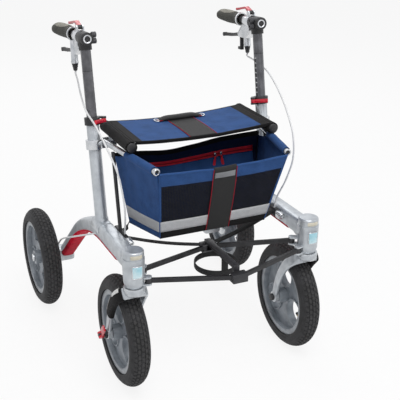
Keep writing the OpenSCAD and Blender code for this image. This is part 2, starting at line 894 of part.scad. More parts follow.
module grip() {
  on_bar() difference() {
    union() {
      translate([0, grip_start, 0]) rotate([-90, 0, 0]) rotate_extrude()
        difference() {
          square([grip_r * grip_swell_share, grip_len]);
          translate([grip_r + grip_len * grip_curve_share, grip_len / 2])
            circle(grip_len * grip_curve_share, $fn = 128);
        }
      translate([0, grip_start + grip_len * grip_wing_share, grip_r - grip_wing_t])
        linear_extrude(grip_wing_t)
          translate([0, grip_wing_w * grip_wing_shares[0]])
            soft_rect(grip_wing_w, grip_wing_w * grip_wing_shares[1], grip_wing_w * grip_wing_shares[2]);
    }
    bar_round(grip_start - eps, grip_start + grip_len - 2 * cap_wall + touch, bar_d / 2 + touch);
  }
}

// Brake body: band on the bar, ears for the thumb catch above and the hand lever below, and a cable housing
module brake_body() {
  on_bar() difference() {
    union() {
      bar_round(perch_start, perch_start + perch_len, perch_r);
      bar_plate(perch_w) polygon([[perch_start, 0], [perch_start, -perch_low * perch_front_share],
        [perch_start + cap_h, -perch_low], [lever_y, lever_z - lever_eye_r], [lever_y + lever_eye_r, lever_z],
        [lever_y, lever_z + lever_eye_r], [perch_start + perch_len, 0]]);
      for (k = [-1, 1]) translate([k * (park_w / 2 + gap + park_ear_t / 2), 0, 0])
        bar_plate(park_ear_t) union() {
          translate([park_y, park_z]) circle(park_eye_r);
          translate([park_y - park_eye_r, 0]) square([2 * park_eye_r, park_z]);
        }
      translate([housing_out, housing_y, housing_top]) cable_housing();
      translate([-park_w / 2 - gap - eps, park_y, park_z]) rotate([0, 90, 0])
        cylinder(r = lever_pin_r, h = park_w + 2 * gap + 2 * eps);
    }
    bar_round(0, grip_start, bar_d / 2 + touch);
    difference() {
      bar_plate(lever_w + 2 * gap) {
        translate([lever_y, lever_z]) circle(lever_eye_r + lever_room);
        translate([lever_y, lever_z - 3 * lever_eye_r]) square([4 * lever_eye_r, 5 * lever_eye_r]);
      }
      bar_plate(perch_w) translate([lever_y, lever_z]) circle(lever_pin_r);
    }
  }
}

// Upright housing of the cable spring, with a lip at its foot and a tapered boot below
module cable_housing() {
  translate([0, 0, -housing_len]) cylinder(r = housing_r, h = housing_len);
  translate([0, 0, -housing_len]) cylinder(r = housing_r + collar_lip, h = collar_lip_h);
  translate([0, 0, -housing_len - boot_len]) cylinder(r1 = boot_end_r, r2 = boot_r, h = boot_len + eps);
}

module brake_lever() {
  root = lever_thick * lever_root_shares;
  tip = lever_thick * lever_tip_shares;
  mid_y = lever_reach * lever_mid_share;
  mid_z = -lever_fall * lever_mid_fall_share;
  on_bar() difference() {
    translate([0, lever_y, lever_z]) {
      bar_plate(lever_w) circle(lever_eye_r);
      bar_plate(lever_w - lever_step)
        polygon([[-root[0], root[1]], [mid_y, mid_z], [lever_reach, -lever_fall + lever_thick / 2],
          [lever_reach, -lever_fall - lever_thick / 2], [mid_y, mid_z - lever_thick], [root[0], -root[2]]]);
      bar_plate(lever_w) translate([lever_reach - tip[0], -lever_fall]) circle(tip[1]);
      bar_plate(lever_w - 2 * lever_step)
        polygon([[-hook_t / 2, hook_root], [hook_t / 2, hook_root], [hook_t / 2, hook_t - hook_drop],
          [hook_foot, hook_t - hook_drop], [hook_foot, -hook_drop], [-hook_t / 2, -hook_drop]]);
    }
    bar_plate(perch_w) translate([lever_y, lever_z]) circle(lever_pin_r + run);
  }
}

module park_lever() {
  root = park_thick * park_root_shares;
  on_bar() difference() {
    bar_plate(park_w) translate([park_y, park_z]) {
      circle(park_eye_r);
      polygon([[-root[0], root[1]], [root[1], -root[0]],
        [park_rise_y, park_rise_z - park_thick], [park_tip_y, park_tip_z - park_thick / 2],
        [park_tip_y, park_tip_z + park_thick / 2], [park_rise_y, park_rise_z]]);
      translate([park_tip_y, park_tip_z]) circle(root[1]);
    }
    bar_plate(perch_w) translate([park_y, park_z]) circle(lever_pin_r + run);
  }
}

// Smooth curve through hand-set points
function blend(a, b, c, d, t) = 0.5 * ((2 * b) + (c - a) * t + (2 * a - 5 * b + 4 * c - d) * t * t
  + (3 * b - a - 3 * c + d) * t * t * t);
function pick(p, i) = p[max(0, min(len(p) - 1, i))];
function curve(p, n) = concat([for (i = [0 : len(p) - 2], k = [0 : n - 1])
  blend(pick(p, i - 1), pick(p, i), pick(p, i + 1), pick(p, i + 2), k / n)], [p[len(p) - 1]]);
function heading(p, i) = let (v = pick(p, i + 1) - pick(p, i - 1)) v / norm(v);
function unit(v) = v / norm(v);

module rope(route, d, n) {
  p = curve(route, n);
  m = len(p);
  pts = [for (i = [0 : m - 1]) let (t = heading(p, i), u = unit(cross(t, [1, 0, 0])), v = cross(t, u))
    for (j = [0 : cable_sides - 1]) let (a = 360 * j / cable_sides) p[i] + d / 2 * (u * cos(a) + v * sin(a))];
  sides = [for (i = [0 : m - 2], j = [0 : cable_sides - 1]) let (a = i * cable_sides + j,
    b = i * cable_sides + (j + 1) % cable_sides) [a, a + cable_sides, b + cable_sides, b]];
  ends = [[for (j = [0 : cable_sides - 1]) j], [for (j = [cable_sides - 1 : -1 : 0]) (m - 1) * cable_sides + j]];
  polyhedron(pts, concat(sides, ends));
}

// Cable routes: hand lever to the pad on the beam, and beam to the brake plate
boot_drop = -housing_top + housing_len + boot_len + cable_gap;
cable_top = [frame_x + housing_out, bar_y + housing_y * cos(bar_drop) - boot_drop * sin(bar_drop),
  bar_z - housing_y * sin(bar_drop) - boot_drop * cos(bar_drop)];
function from_head(p) = [frame_x + p[0], head_y + p[1], beam_z + p[2]];
function hand_route(p) = concat([cable_top, cable_top - [0, 0, cable_lead]], [for (q = p) from_head(q)],
  [[pad_x + pad_t / 2, head_y + cable_foot, beam_z + pad_r + pad_h / 2 + cable_gap]]);
plate_x = rear_x - drum_deep - cable_d / 2 - gap;
hub_route = concat([[frame_x + beam_w / 2 + cable_d / 2 + gap, head_y + cable_start_y, beam_z + cable_start_z]],
  [for (q = rear_cable) from_head(q)], [[plate_x, rear_y - cable_end_y, axle_z + cable_end_z]]);

// A link bar between two upright pivots, with an eye at each end
module link(a, b, slack) {
  difference() {
    union() {
      for (p = [a, b]) translate([p[0], p[1], p[2] - link_h / 2]) cylinder(r = eye_r, h = link_h);
      along(a, b) translate([-link_h / 2 + link_inset, -link_t / 2, eye_r / 2])
        cube([link_h - 2 * link_inset, link_t, norm(b - a) - eye_r]);
    }
    translate([a[0], a[1], a[2] - link_h]) cylinder(r = pin_r + run, h = 2 * link_h);
    translate([b[0], b[1], b[2] - link_h]) cylinder(r = pin_r + slack, h = 2 * link_h);
  }
}

centre_y = head_y + rear_pivot_set + link_drop;
nose_y = head_y + front_pivot_set - link_drop;
module rear_link() {
  link([pivot_x, head_y + rear_pivot_set, rear_link_z], [block_half, centre_y, centre_z], run);
}
module front_link(slack) {
  link([pivot_x, head_y + front_pivot_set, front_link_z], [block_half, nose_y, front_link_z], slack);
}

// Two plates, two pins and a web that hold a pair of link eyes
module hinge_block(y, z, k) {
  for (s = [-1, 1])
    translate([0, y, z + s * (link_h / 2 + gap + plate_t / 2)]) {
      translate([-block_half - eye_r, k > 0 ? -eye_r : -block_front, -plate_t / 2])
        cube([2 * (block_half + eye_r), eye_r + block_front, plate_t]);
    }
  translate([-block_half - eye_r, y + (k > 0 ? block_front - block_web : -block_front),
    z - link_h / 2 - gap - plate_t])
    cube([2 * (block_half + eye_r), block_web, link_h + 2 * gap + 2 * plate_t]);
  for (s = [-1, 1])
    translate([s * block_half, y, z - link_h / 2 - gap - eps]) cylinder(r = pin_r, h = link_h + 2 * gap + 2 * eps);
}

spine_z = centre_z + link_h / 2 + gap + plate_t;
stop_y = nose_y + eye_r + gap;

// Seat sling drawn across the width and carried along the rails
module seat() {
  half = rail_x - sleeve_r * sling_in_share;
  radius = (half * half + seat_sag * seat_sag) / (2 * seat_sag);
  translate([0, head_y + rail_set + rail_len - seat_margin, rail_z])
    rotate([90, 0, 0]) linear_extrude(rail_len - 2 * seat_margin) difference() {
      union() {
        for (k = [-1, 1]) translate([k * rail_x, 0]) circle(sleeve_r);
        intersection() {
          translate([0, seat_lift - seat_sag + radius]) difference() {
            circle(radius + seat_t / 2, $fn = 256);
            circle(radius - seat_t / 2, $fn = 256);
          }
          translate([-half, -2 * sleeve_r]) square([2 * half, 4 * sleeve_r]);
        }
      }
      for (k = [-1, 1]) translate([k * rail_x, 0]) circle(rail_d / 2 + gap);
    }
}

// A small peg at one corner of the basket
module bag_corner(at, inset_x, inset_y, z) {
  for (k = [-1, 1])
    translate([k * (at[0] - inset_x), at[1] + inset_y, z]) cylinder(r = eps, h = eps, $fn = 8);
}

// Solid basket form between its foot and its brim
module bag(inset, low, high) {
  hull() {
    bag_corner(basket_front_low, inset, inset, low);
    bag_corner(basket_rear_low, inset, -inset, low);
    bag_corner(basket_front_top, inset, inset, high);
    bag_corner(basket_rear_top, inset, -inset, high);
  }
}

module left_beam() { color(silver) side(-1) beam(); }
module right_beam() { color(silver) side(1) beam(); }
module left_beam_inlay() { color(red) side(-1) beam_inlay(); }
module right_beam_inlay() { color(red) side(1) beam_inlay(); }
module left_head() { color(silver) side(-1) head(); }
module right_head() { color(silver) side(1) head(); }
module left_head_cap() { color(silver) side(-1) head_cap(); }
module right_head_cap() { color(silver) side(1) head_cap(); }
module left_upright() { color(silver) side(-1) upright(); }
module right_upright() { color(silver) side(1) upright(); }
module left_collar() { color(black) side(-1) collar(); }
module right_collar() { color(black) side(1) collar(); }
module left_collar_lever() { color(red) side(-1) collar_lever(); }
module right_collar_lever() { color(red) side(1) collar_lever(); }
module left_seat_rail() { color(silver) side(-1) seat_rail(); }
module right_seat_rail() { color(silver) side(1) seat_rail(); }
module left_stay() { color(black) side(-1) stay(); }
module right_stay() { color(black) side(1) stay(); }
module left_rear_axle() { color(silver) side(-1) rear_axle(); }
module right_rear_axle() { color(silver) side(1) rear_axle(); }
module left_rear_tyre() { color(black) side(-1) tyre(rear_x, rear_y); }
module right_rear_tyre() { color(black) side(1) tyre(rear_x, rear_y); }
module left_rear_rim() { color(grey) side(-1) rim(rear_x, rear_y, rear_hub, true); }
module right_rear_rim() { color(grey) side(1) rim(rear_x, rear_y, rear_hub, true); }
module left_fork() { color(silver) side(-1) fork(); }
module right_fork() { color(silver) side(1) fork(); }
module left_fork_guard() { color(black) side(-1) fork_guard(); }
module right_fork_guard() { color(black) side(1) fork_guard(); }
module left_front_axle() { color(black) side(-1) front_axle(); }
module right_front_axle() { color(black) side(1) front_axle(); }
module left_axle_lever() { color(red) side(-1) axle_lever(); }
module right_axle_lever() { color(red) side(1) axle_lever(); }
module left_front_tyre() { color(black) side(-1) tyre(frame_x, front_y); }
module right_front_tyre() { color(black) side(1) tyre(frame_x, front_y); }
module left_front_rim() { color(grey) side(-1) rim(frame_x, front_y, front_hub, false); }
module right_front_rim() { color(grey) side(1) rim(frame_x, front_y, front_hub, false); }
module left_handle_tube() { color(dark) side(-1) handle_tube(); }
module right_handle_tube() { color(dark) side(1) handle_tube(); }
module left_handle_head() { color(black) side(-1) handle_head(); }
module right_handle_head() { color(black) side(1) handle_head(); }
module left_grip() { color(dark) side(-1) grip(); }
module right_grip() { color(dark) side(1) grip(); }
module left_brake_body() { color(silver) side(-1) brake_body(); }
module right_brake_body() { color(silver) side(1) brake_body(); }
module left_brake_lever() { color(black) side(-1) brake_lever(); }
module right_brake_lever() { color(black) side(1) brake_lever(); }
module left_park_lever() { color(red) side(-1) park_lever(); }
module right_park_lever() { color(red) side(1) park_lever(); }
module left_brake_cable() {
  color(silver) side(-1) rope(hand_route(left_cable), cable_d, 5);
  color(silver) side(-1) rope(hub_route, cable_d, 5);
}
module right_brake_cable() {
  color(silver) side(1) rope(hand_route(right_cable), cable_d, 4);
  color(silver) side(1) rope(hub_route, cable_d, 5);
}
module rear_link_left() { color(dark) side(-1) rear_link(); }
module rear_link_right() { color(dark) side(1) rear_link(); }
module front_link_left() { color(dark) side(-1) front_link(run); }
module front_link_right() { color(dark) side(1) front_link(gap); }

// Centre block with the spine that stops the front block
module centre_block() {
  color(dark) {
    hinge_block(centre_y, centre_z, 1);
    translate([-spine_w / 2, stop_y, spine_z - eps]) cube([spine_w, centre_y - stop_y + eye_r, spine_h]);
    translate([-spine_w / 2, stop_y, spine_z - stop_h + spine_h]) cube([spine_w, stop_t, stop_h - eps]);
  }
}
module front_block() { color(dark) hinge_block(nose_y, front_link_z, -1); }

module seat_sling() {
  color(blue) difference() {
    seat();
    for (k = [-1, 1])
      translate([k * rail_x - post_r - gap, mast_y - post_r - gap, rail_z - 2 * sleeve_r])
        cube([2 * (post_r + gap), 2 * (post_r + gap), 2 * sleeve_r]);
  }
}

module basket() {
  color(blue) difference() {
    union() {
      difference() {
        bag(0, basket_z, basket_top);
        bag(cloth_t, basket_z + basket_floor, basket_top + basket_floor);
      }
      for (k = [-1, 1])
        mirror([k > 0 ? 0 : 1, 0, 0])
          rod(rod_rear + (rod_front - rod_rear) * hem_from_share,
            rod_rear + (rod_front - rod_rear) * hem_to_share, 2 * hem_r);
    }
    for (k = [-1, 1])
      mirror([k > 0 ? 0 : 1, 0, 0])
        rod(rod_rear, rod_front + (rod_front - rod_rear) * (1 - hem_to_share), rod_d + 2 * gap);
  }
}

// Webbing: two spreader straps, two basket ties and a pull loop under the spine
module webbing() {
  color(black) {
    for (k = [-1, 1]) {
      along([k * (pad_x - strap_set), head_y + pad_from + strap_w, beam_z + pad_r],
        [k * (block_half + eye_r + strap_set), centre_y, centre_z + link_h / 2 + gap + strap_lift])
        translate([-strap_t / 2, -strap_w / 2, 0])
          cube([strap_t, strap_w, norm([pad_x - block_half - eye_r - 2 * strap_set,
            head_y + pad_from + strap_w - centre_y, beam_z + pad_r - centre_z - link_h / 2 - gap - strap_lift])]);
      translate([k * (pad_x - strap_w - gap), head_y + pad_to - strap_w, beam_z + pad_r - strap_t])
        mirror([k > 0 ? 0 : 1, 0, 0]) cube([strap_w, strap_w, strap_t]);
    }
    union() {
      translate([0, loop_y, loop_low]) difference() {
        cylinder(r = loop_r, h = loop_h);
        translate([0, 0, -eps]) cylinder(r = loop_r - loop_t, h = loop_h + 2 * eps);
      }
      translate([-strap_w / 2, loop_y - loop_r, loop_low]) cube([strap_w, loop_t, spine_z - loop_low - gap - eps]);
    }
  }
}

left_beam();
right_beam();
left_beam_inlay();
right_beam_inlay();
left_head();
right_head();
left_head_cap();
right_head_cap();
left_upright();
right_upright();
left_collar();
right_collar();
left_collar_lever();
right_collar_lever();
left_seat_rail();
right_seat_rail();
left_stay();
right_stay();
left_rear_axle();
right_rear_axle();
left_rear_tyre();
right_rear_tyre();
left_rear_rim();
right_rear_rim();
left_fork();
right_fork();
left_fork_guard();
right_fork_guard();
left_front_axle();
right_front_axle();
left_axle_lever();
right_axle_lever();
left_front_tyre();
right_front_tyre();
left_front_rim();
right_front_rim();
left_handle_tube();
right_handle_tube();
left_handle_head();
right_handle_head();
left_grip();
right_grip();
left_brake_body();
right_brake_body();
left_brake_lever();
right_brake_lever();
left_park_lever();
right_park_lever();
left_brake_cable();
right_brake_cable();
rear_link_left();
rear_link_right();
centre_block();
front_link_left();
front_link_right();
front_block();
seat_sling();
basket();
webbing();
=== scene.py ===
# %% [markdown]
# # An all-terrain walking frame, dressed for the photograph
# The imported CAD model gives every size, body and joint. This script keeps the rigid CAD pieces, gives each
# a material with its real detail, and makes the tyres, cloth, straps, cables and small trim on top of them.
# Each code cell makes one kind of piece and prints what it made, so the file can be read and run step by
# step.

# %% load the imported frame
import math

import bmesh
import bpy
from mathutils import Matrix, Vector, noise


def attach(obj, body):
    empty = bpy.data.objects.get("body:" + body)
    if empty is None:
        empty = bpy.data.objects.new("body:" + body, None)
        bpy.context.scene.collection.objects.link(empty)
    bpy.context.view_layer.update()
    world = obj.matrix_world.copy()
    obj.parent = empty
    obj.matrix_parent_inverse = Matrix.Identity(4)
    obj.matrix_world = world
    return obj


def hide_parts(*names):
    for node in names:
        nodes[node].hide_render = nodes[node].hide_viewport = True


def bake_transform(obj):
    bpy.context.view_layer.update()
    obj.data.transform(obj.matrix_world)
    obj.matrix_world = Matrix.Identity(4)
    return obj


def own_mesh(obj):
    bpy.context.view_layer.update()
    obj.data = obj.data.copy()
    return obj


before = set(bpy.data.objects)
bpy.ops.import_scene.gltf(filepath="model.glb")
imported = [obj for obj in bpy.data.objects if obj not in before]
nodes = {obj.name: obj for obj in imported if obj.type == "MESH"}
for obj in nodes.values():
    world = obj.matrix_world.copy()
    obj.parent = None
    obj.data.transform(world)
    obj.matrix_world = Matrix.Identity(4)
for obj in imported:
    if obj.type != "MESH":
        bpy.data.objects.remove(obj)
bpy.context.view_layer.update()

# %% [markdown]
# ## Sizes
# Lengths here are in millimetres and repeat the values of the part's source. X runs across the width, Y
# runs from front to rear and Z is up. The mesh builders turn them into metres, which Blender and the frame
# use.

# %% main sizes
MM = 0.001
SIDES = {"left": -1, "right": 1}
HEAD_Y, FRONT_Y, REAR_Y = -350.647, -252.647, 295.353  # steering heads, front axles and rear axles
UPRIGHT_Y, CENTRE_Y = -105.647, -249.941  # foot of the uprights, middle of the fold linkage
FRAME_X, REAR_X, AXLE_Z, BEAM_Z = 256.0, 334.0, 156.0, 402.0
BAR_Y, BAR_Z = -22.829, 913.337  # where a handlebar meets its height tube
BAR_DROP, LEAN = math.radians(4), math.radians(9.2)
RAIL_X, RAIL_Z, RAIL_BACK, RAIL_LEN = 206.0, 664.0, 126.0, 210.0
RAIL_FROM, RAIL_TO = HEAD_Y + RAIL_BACK, HEAD_Y + RAIL_BACK + RAIL_LEN

# %% [markdown]
# ## Places on the leaning tubes
# The handlebar drops to the rear and the upright leans back, so a place on them is easiest to give from
# their own origin. An empty parented to each tube would do that too. Plain sums keep every mesh in one
# shared space.


# %% places on the bar and the upright
def on_bar(s, x, y, z):
    """A point given from the handlebar's own origin, on side s."""
    c, d = math.cos(BAR_DROP), math.sin(BAR_DROP)
    return Vector((s * (FRAME_X + x), BAR_Y + y * c + z * d, BAR_Z - y * d + z * c))


def bar_axis(s):
    """The direction of the handlebar, towards the rear."""
    return on_bar(s, 0, 1, 0) - on_bar(s, 0, 0, 0)


def on_upright(s, x, y, t):
    """A point given from the foot of the upright, t up its axis, on side s."""
    c, d = math.cos(LEAN), math.sin(LEAN)
    return Vector((s * (FRAME_X + x), UPRIGHT_Y + y * c + t * d, BEAM_Z - y * d + t * c))


print("left handlebar starts at", [round(v) for v in on_bar(-1, 0, 0, 0)])

# %% [markdown]
# ## Mesh builders
# Nearly every piece is a skin over rows of points: a tube, a strap, a turned ring and a sheet of cloth
# differ only in how their rows are made. Blender's curves could give the tubes and its Screw modifier the
# rings. One builder for all of them keeps the faces even and gives UVs in millimetres, so weave and ribs
# keep their pitch.

# %% a skin over rows of points
LEAST = 0.01  # keeps the UVs growing where two rows meet, and a turned point off its axis


def skin(rows, wrap=False, cap=False):
    """Vertices, faces and face UVs over rows of points. wrap closes each row, cap closes the two ends."""
    n = len(rows[0])
    mids = [sum((Vector(p) for p in row), Vector()) / n for row in rows]
    up = [0.0]
    for a, b in zip(mids, mids[1:]):
        up.append(up[-1] + max((b - a).length, LEAST))
    wide = max(rows, key=lambda row: sum((Vector(a) - Vector(b)).length for a, b in zip(row, row[1:])))
    across = [0.0]
    for j in range(n):
        across.append(across[-1] + (Vector(wide[(j + 1) % n]) - Vector(wide[j])).length)
    verts = [tuple(p) for row in rows for p in row]
    faces, uvs = [], []
    for i in range(len(rows) - 1):
        for j in range(n if wrap else n - 1):
            k = (j + 1) % n
            near, far = across[j], across[j + 1]
            faces.append((i * n + j, i * n + k, (i + 1) * n + k, (i + 1) * n + j))
            uvs.append(((near, up[i]), (far, up[i]), (far, up[i + 1]), (near, up[i + 1])))
    if cap:
        last = (len(rows) - 1) * n
        for end in (list(range(n)), list(range(last, last + n))):
            faces.append(tuple(end))
            uvs.append(tuple((across[q % n], 0.0) for q in end))
    return verts, faces, uvs


def merge(*parts):
    """Several skins as one."""
    verts, faces, uvs = [], [], []
    for v, f, u in parts:
        faces += [tuple(i + len(verts) for i in face) for face in f]
        verts += v
        uvs += u
    return verts, faces, uvs


print("a strip of 3 rows has", len(skin([[(x, y, 0) for x in range(4)] for y in range(3)])[1]), "faces")

# %% [markdown]
# ## From a skin to an object
# A skin becomes a mesh object that rides on a CAD body, so that it moves with its joint. Cloth gets its
# thickness from the Solidify modifier. The result is kept as the mesh itself, and an edge that is baked
# looks the same at every pose.

# %% objects and modifiers
HARD, SOFT = 45, 60  # degrees at which an edge stays sharp, on hard pieces and on cloth


def piece(name, part, mats, body, index=None, smooth=HARD):
    """A mesh object from a skin, in metres, riding on a CAD body."""
    verts, faces, uvs = part
    mesh = bpy.data.meshes.new(name)
    mesh.from_pydata([(x * MM, y * MM, z * MM) for x, y, z in verts], [], faces)
    layer = mesh.uv_layers.new(name="UVMap")
    layer.data.foreach_set("uv", [c for face in uvs for uv in face for c in uv])
    for m in mats if isinstance(mats, (list, tuple)) else [mats]:
        mesh.materials.append(m)
    if index:
        mesh.polygons.foreach_set("material_index", index)
    work = bmesh.new()
    work.from_mesh(mesh)
    bmesh.ops.recalc_face_normals(work, faces=work.faces)
    work.to_mesh(mesh)
    work.free()
    mesh.polygons.foreach_set("use_smooth", [True] * len(mesh.polygons))
    mesh.set_sharp_from_angle(angle=math.radians(smooth))
    mesh.update()
    o = bpy.data.objects.new(name, mesh)
    bpy.context.scene.collection.objects.link(o)
    if body:
        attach(o, body)
    return o


def modify(o, kind, **settings):
    """One modifier with its settings."""
    m = o.modifiers.new(kind.title(), kind)
    for key, value in settings.items():
        setattr(m, key, value)
    return o


def bake(o):
    """Turns the modified shape into the object's own mesh."""
    graph = bpy.context.evaluated_depsgraph_get()
    mesh = bpy.data.meshes.new_from_object(o.evaluated_get(graph))
    o.modifiers.clear()
    o.data = mesh
    return o


def cloth(o, thick):
    """Gives a sheet its thickness and keeps the result as its mesh."""
    modify(o, "SOLIDIFY", thickness=thick * MM, offset=0.0)
    return bake(o)


print("hard edges above", HARD, "degrees, cloth edges above", SOFT)

# %% [markdown]
# ## Curves and sections
# A tube frame is mostly outlines carried along a line. The outlines are ovals with a power: 2 is an ellipse
# and 4 a rounded rectangle, as a drawn tube or a moulded block has. The lines run smoothly through a few
# points.


# %% curves and sections
def lerp(a, b, t):
    """The value at share t of the way from a to b."""
    return a + (b - a) * t


def ease(t):
    """A soft step from 0 to 1."""
    t = min(1.0, max(0.0, t))
    return t * t * (3 - 2 * t)


def spline(points, n):
    """A smooth line through the points, n steps between each pair."""
    p = [Vector(q) for q in points]
    out = []
    for i in range(len(p) - 1):
        a, b, c, d = p[max(0, i - 1)], p[i], p[i + 1], p[min(len(p) - 1, i + 2)]
        bend, twist = 2 * a - 5 * b + 4 * c - d, 3 * b - a - 3 * c + d
        for k in range(n):
            t = k / n
            out.append(0.5 * (2 * b + (c - a) * t + bend * t * t + twist * t ** 3))
    return out + [p[-1]]


def rounded(value, power):
    """A sine or cosine pushed out towards a square corner."""
    return math.copysign(abs(value) ** (2 / power), value)


def oval(a, b, n=24, power=2.0):
    """A closed round or squarish outline with half sizes a and b."""
    turns = [2 * math.pi * k / n for k in range(n)]
    return [(a * rounded(math.cos(t), power), b * rounded(math.sin(t), power)) for t in turns]


print("an oval of", len(oval(1, 1)), "points")


# %% sweeps, rings and blocks
PARALLEL = 1e-3  # below this the hint lies along the path
KNEE = 0.3  # share of a rounded edge at which its middle row lies


def sweep(path, outlines, hint=(1, 0, 0), closed=False):
    """A skin of outlines carried along a path. The first direction of each outline stays nearest to hint."""
    path = [Vector(p) for p in path]
    rows = []
    for i, p in enumerate(path):
        a, b = path[max(0, i - 1)], path[min(len(path) - 1, i + 1)]
        if closed:
            a, b = path[i - 1], path[(i + 1) % len(path)]
        along = (b - a).normalized()
        h = Vector(hint)
        u = h - along * h.dot(along)
        if u.length < PARALLEL:
            u = along.orthogonal()
        u.normalize()
        v = along.cross(u)
        outline = outlines if isinstance(outlines[0], tuple) else outlines[i]
        rows.append([p + u * x + v * y for x, y in outline])
    if closed:
        rows.append(rows[0])
    return skin(rows, wrap=True, cap=not closed)


def tube(path, r, sides=12, hint=(1, 0, 0), closed=False):
    """A round tube along a path."""
    return sweep(path, oval(r, r, sides), hint, closed)


def ring(profile, centre, axis, n=48, closed=False):
    """A skin made by turning (radius, along) points about an axis through centre."""
    axis = Vector(axis).normalized()
    u = axis.orthogonal().normalized()
    v = axis.cross(u)
    turns = [2 * math.pi * k / n for k in range(n)]
    rows = []
    for r, z in profile:
        spot, reach = Vector(centre) + axis * z, max(r, LEAST)
        rows.append([spot + (u * math.cos(t) + v * math.sin(t)) * reach for t in turns])
    return skin(rows + rows[:1] if closed else rows, wrap=True, cap=not closed)


def block(centre, size, soft, power=6.0, n=32):
    """A rounded block: squarish outlines that draw in at both ends."""
    x, y, z = (c / 2 for c in size)
    knee = soft * KNEE
    steps = [(z, soft), (z - knee, knee), (z - soft, 0.0)]
    rows = []
    for h, d in [(-h, d) for h, d in steps] + [(h, d) for h, d in reversed(steps)]:
        rows.append([Vector(centre) + Vector((a, b, h)) for a, b in oval(x - d, y - d, n, power)])
    return skin(rows, wrap=True, cap=True)


print("a rounded block has", len(block((0, 0, 0), (10, 10, 10), 2)[1]), "faces")

# %% [markdown]
# ## Camera
# The camera stands where the photograph was taken from, a little left of the front and above the seat. Its
# long lens keeps the far wheels nearly as large as the near ones, which a wide lens close by wouldn't do.

# %% camera
PHOTO_LENS, PHOTO_SENSOR = 81.3, 36.0
CAMERA_PLACE = (-0.9538, -2.3017, 1.4094)  # metres
CAMERA_DOWN, CAMERA_TURN = 22.013, -24.362  # degrees below level, degrees round from the front

scene = bpy.context.scene
scene.view_settings.view_transform = "Standard"
lens = bpy.data.cameras.new("photo_camera")
lens.lens, lens.sensor_width = PHOTO_LENS, PHOTO_SENSOR
camera = bpy.data.objects.new("photo_camera", lens)
camera.location = CAMERA_PLACE
camera.rotation_euler = (math.radians(90 - CAMERA_DOWN), 0, math.radians(CAMERA_TURN))
scene.collection.objects.link(camera)
scene.camera = camera
print("camera", round(math.dist(CAMERA_PLACE, (0, 0, 0.4)), 2), "m from the basket")

# %% [markdown]
# ## Lamps
# A product photographer lights white paper with large soft boxes. Three area lamps do that here: a key
# above the front, a weak fill on the right and a lamp behind that draws the edges. They stay at a plain
# level, so that a colour renders about as it is written.

# %% lamps
LAMPS = {  # place, aim, size in metres, power in watts
    "key": ((-0.2, -2.0, 3.9), (0, 0, 0.4), 2.2, 86),
    "fill": ((2.6, -1.8, 2.0), (0, 0, 0.5), 2.6, 10),
    "back": ((0.6, 2.8, 2.6), (0, 0, 0.6), 2.4, 26),
}

for name, (place, aim, size, power) in LAMPS.items():
    data = bpy.data.lights.new(name, "AREA")
    data.size, data.energy = size, power
    lamp = bpy.data.objects.new(name, data)
    lamp.location = place
    lamp.rotation_euler = (Vector(aim) - Vector(place)).to_track_quat("-Z", "Y").to_euler()
    scene.collection.objects.link(lamp)
print(len(LAMPS), "soft lamps")

# %% [markdown]
# ## Brake cables
# Each hand cable leaves the boot under its brake housing, hangs in a free curve across the upright and goes
# into the strap pad on the beam. A second run goes from the beam to the rear hub. Both are stiff Bowden
# cables, so their routes are a few points read off the photograph with one smooth curve through them.

# %% cable routes
CABLE_D, CABLE_STEPS = 5.0, 8
CABLE_TOP, CABLE_LEAD = (8, 77, -98.2), Vector((0, 0, 8))  # the boot's end on the bar, the first stretch down
# places from the steering head: outwards from the frame, to the rear and up from the beam
HAND_ROUTE = {
    "left": [(10, 376, 388), (14, 340, 356), (17, 290, 325), (10, 233, 297), (-2, 175, 246), (-16, 136, 183),
             (-24, 121, 98), (-28.6, 140, 18.2)],
    "right": [(11, 372, 396), (17, 334, 388), (19, 281, 372), (12, 211, 341), (4, 146, 298), (0, 101, 243),
              (-4, 89, 178), (-12, 111, 108), (-22, 137, 53), (-28.6, 140, 18.2)],
}
HUB_ROUTE = [(22.8, 239, -11), (25, 290, -34), (34, 411, -89), (40, 521, -140), (41, 571, -177),
             (41.2, 634, -230)]


def from_head(s, p):
    """A place of a route in the shared frame, on side s."""
    return Vector((s * (FRAME_X + p[0]), HEAD_Y + p[1], BEAM_Z + p[2]))


def length_of(path):
    """The length of a line of points."""
    return sum((b - a).length for a, b in zip(path, path[1:]))


hand_path, hub_path = {}, {}
for side, s in SIDES.items():
    first = on_bar(s, *CABLE_TOP)
    route = [from_head(s, p) for p in HAND_ROUTE[side]]
    hand_path[side] = spline([first, first - CABLE_LEAD] + route, CABLE_STEPS)
    hub_path[side] = spline([from_head(s, p) for p in HUB_ROUTE], CABLE_STEPS)
    print(side, "cables", round(length_of(hand_path[side])), "and", round(length_of(hub_path[side])), "mm")

# %% [markdown]
# ## Material builders
# Three kinds of surface make up the whole object: lacquered, moulded or anodised ones, woven cloth and
# ribbed webbing. Image textures could show them, but procedural ones stay sharp at any distance. Every
# pattern's scale comes from millimetres, and every constant sits on the shader's own sockets, so that the
# export keeps it.


# %% colours and nodes
def lin(code):
    """An sRGB hex colour as linear values."""
    c = [int(code[i:i + 2], 16) / 255 for i in (1, 3, 5)]
    return tuple(v / 12.92 if v <= 0.04045 else ((v + 0.055) / 1.055) ** 2.4 for v in c) + (1.0,)


def add(tree, kind, out, values=None, links=None, stops=(), **settings):
    """Adds a shader node with its settings, values, links and colour stops, and gives one output."""
    n = tree.nodes.new("ShaderNode" + kind)
    for key, value in settings.items():
        setattr(n, key, value)
    for key, value in (values or {}).items():
        n.inputs[key].default_value = value
    for key, source in (links or {}).items():
        tree.links.new(source, n.inputs[key])
    for i, (place, colour) in enumerate(stops):
        n.color_ramp.elements[i].position = place
        n.color_ramp.elements[i].color = lin(colour)
    return n.outputs[out]


